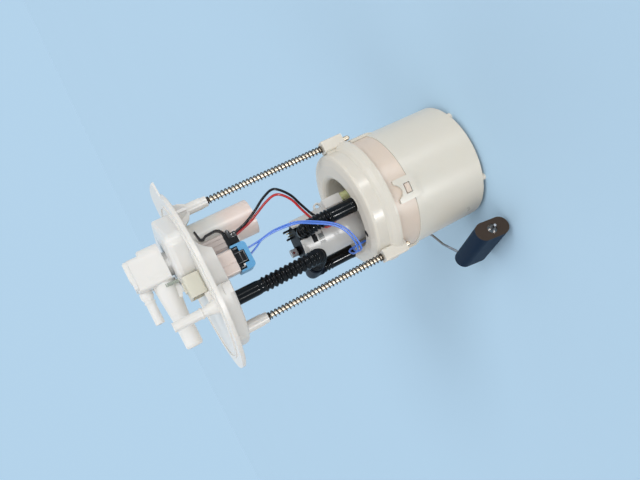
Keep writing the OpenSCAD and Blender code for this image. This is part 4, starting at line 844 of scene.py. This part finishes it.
# floor, backdrop and light
studio = {
    "floorSeen": (0.507, 0.721, 0.916), "floorBounce": (0.66, 0.66, 0.66), "floorRadius": 6.0,
    "floorClouds": 0.985,
    "backdrop": (0.459, 0.654, 0.831), "worldLight": 0.55,
    "suns": [
        # name, azimuth from the front towards the left, elevation, strength, width, what it shows in
        ("keySun", -30, 38, 1.0, 30, "all"),
        ("frontSun", 10, 4, 0.65, 35, "diffuse"),
        ("fillSun", 75, 30, 0.35, 50, "all"),
        ("backSun", 170, 40, 0.35, 60, "all"),
        # these two give glossy surfaces their thin bright lines, as on the hoses
        ("glintLeft", 42, -15, 2.4, 5, "glossy"),
        ("glintRight", -24, -15, 1.2, 4, "glossy"),
    ],
}


def addFloor(settings):
    form = bmesh.new()
    bmesh.ops.create_circle(form, cap_ends=True, segments=96, radius=settings["floorRadius"])
    mesh = bpy.data.meshes.new("studioFloor")
    form.to_mesh(mesh)
    form.free()
    material, tree, shader, place = newMaterial("floorPaper", shine=0.0)
    mottle = addGroup(tree, "mottle", place, Colour=(*settings["floorSeen"], 1),
                      Shade=(*[c * settings["floorClouds"] for c in settings["floorSeen"]], 1), Cloud_Scale=3,
                      Cloud_Amount=0.5, Grain_Scale=400, Gloss=0.9, Gloss_Spread=0.02)
    # the paper is pale blue to the eye and to reflections, and throws neutral light on the module
    bounce = addNode(tree, "ShaderNodeMix", data_type="RGBA")
    bounce.inputs["B"].default_value = (*settings["floorBounce"], 1)
    path = addNode(tree, "ShaderNodeLightPath")
    join(tree, path.outputs["Is Diffuse Ray"], bounce.inputs["Factor"])
    join(tree, mottle.outputs["Colour"], bounce.inputs["A"])
    join(tree, bounce.outputs["Result"], shader.inputs["Base Color"])
    join(tree, mottle.outputs["Roughness"], shader.inputs["Roughness"])
    mesh.materials.append(material)
    floor = bpy.data.objects.new("studioFloor", mesh)
    floor.visible_shadow = False  # it takes the module's shadow and lets the glints through
    scene.collection.objects.link(floor)


def addWorld(settings):
    world = bpy.data.worlds.new("studioWorld")
    scene.world = world
    world.use_nodes = True
    tree = world.node_tree
    back = tree.nodes["Background"]
    back.inputs["Color"].default_value = (1, 1, 1, 1)
    back.inputs["Strength"].default_value = settings["worldLight"]
    seen = addNode(tree, "ShaderNodeBackground")
    seen.inputs["Color"].default_value = (*settings["backdrop"], 1)
    seen.inputs["Strength"].default_value = 1.0
    path = addNode(tree, "ShaderNodeLightPath")
    glossy = addNode(tree, "ShaderNodeMath", operation="MAXIMUM")
    through = addNode(tree, "ShaderNodeMath", operation="MAXIMUM")
    mix = addNode(tree, "ShaderNodeMixShader")
    join(tree, path.outputs["Is Camera Ray"], glossy.inputs[0])
    join(tree, path.outputs["Is Glossy Ray"], glossy.inputs[1])
    join(tree, glossy.outputs[0], through.inputs[0])
    join(tree, path.outputs["Is Transmission Ray"], through.inputs[1])
    join(tree, through.outputs[0], mix.inputs["Fac"])
    join(tree, back.outputs["Background"], mix.inputs[1])
    join(tree, seen.outputs["Background"], mix.inputs[2])
    join(tree, mix.outputs["Shader"], tree.nodes["World Output"].inputs["Surface"])


def addSun(name, azimuth, elevation, strength, width, showsIn):
    data = bpy.data.lights.new(name, "SUN")
    data.energy = strength
    data.angle = math.radians(width)
    sun = bpy.data.objects.new(name, data)
    sun.visible_diffuse = showsIn != "glossy"
    sun.visible_glossy = showsIn != "diffuse"
    scene.collection.objects.link(sun)
    a = math.radians(azimuth)
    e = math.radians(elevation)
    towards = Vector((-math.sin(a) * math.cos(e), -math.cos(a) * math.cos(e), math.sin(e)))
    sun.rotation_mode = "QUATERNION"
    sun.rotation_quaternion = towards.to_track_quat("Z", "Y")
    sun.location = towards * 2


addFloor(studio)
addWorld(studio)
for sunSettings in studio["suns"]:
    addSun(*sunSettings)
scene.view_settings.view_transform = "Standard"
print("studio lit")
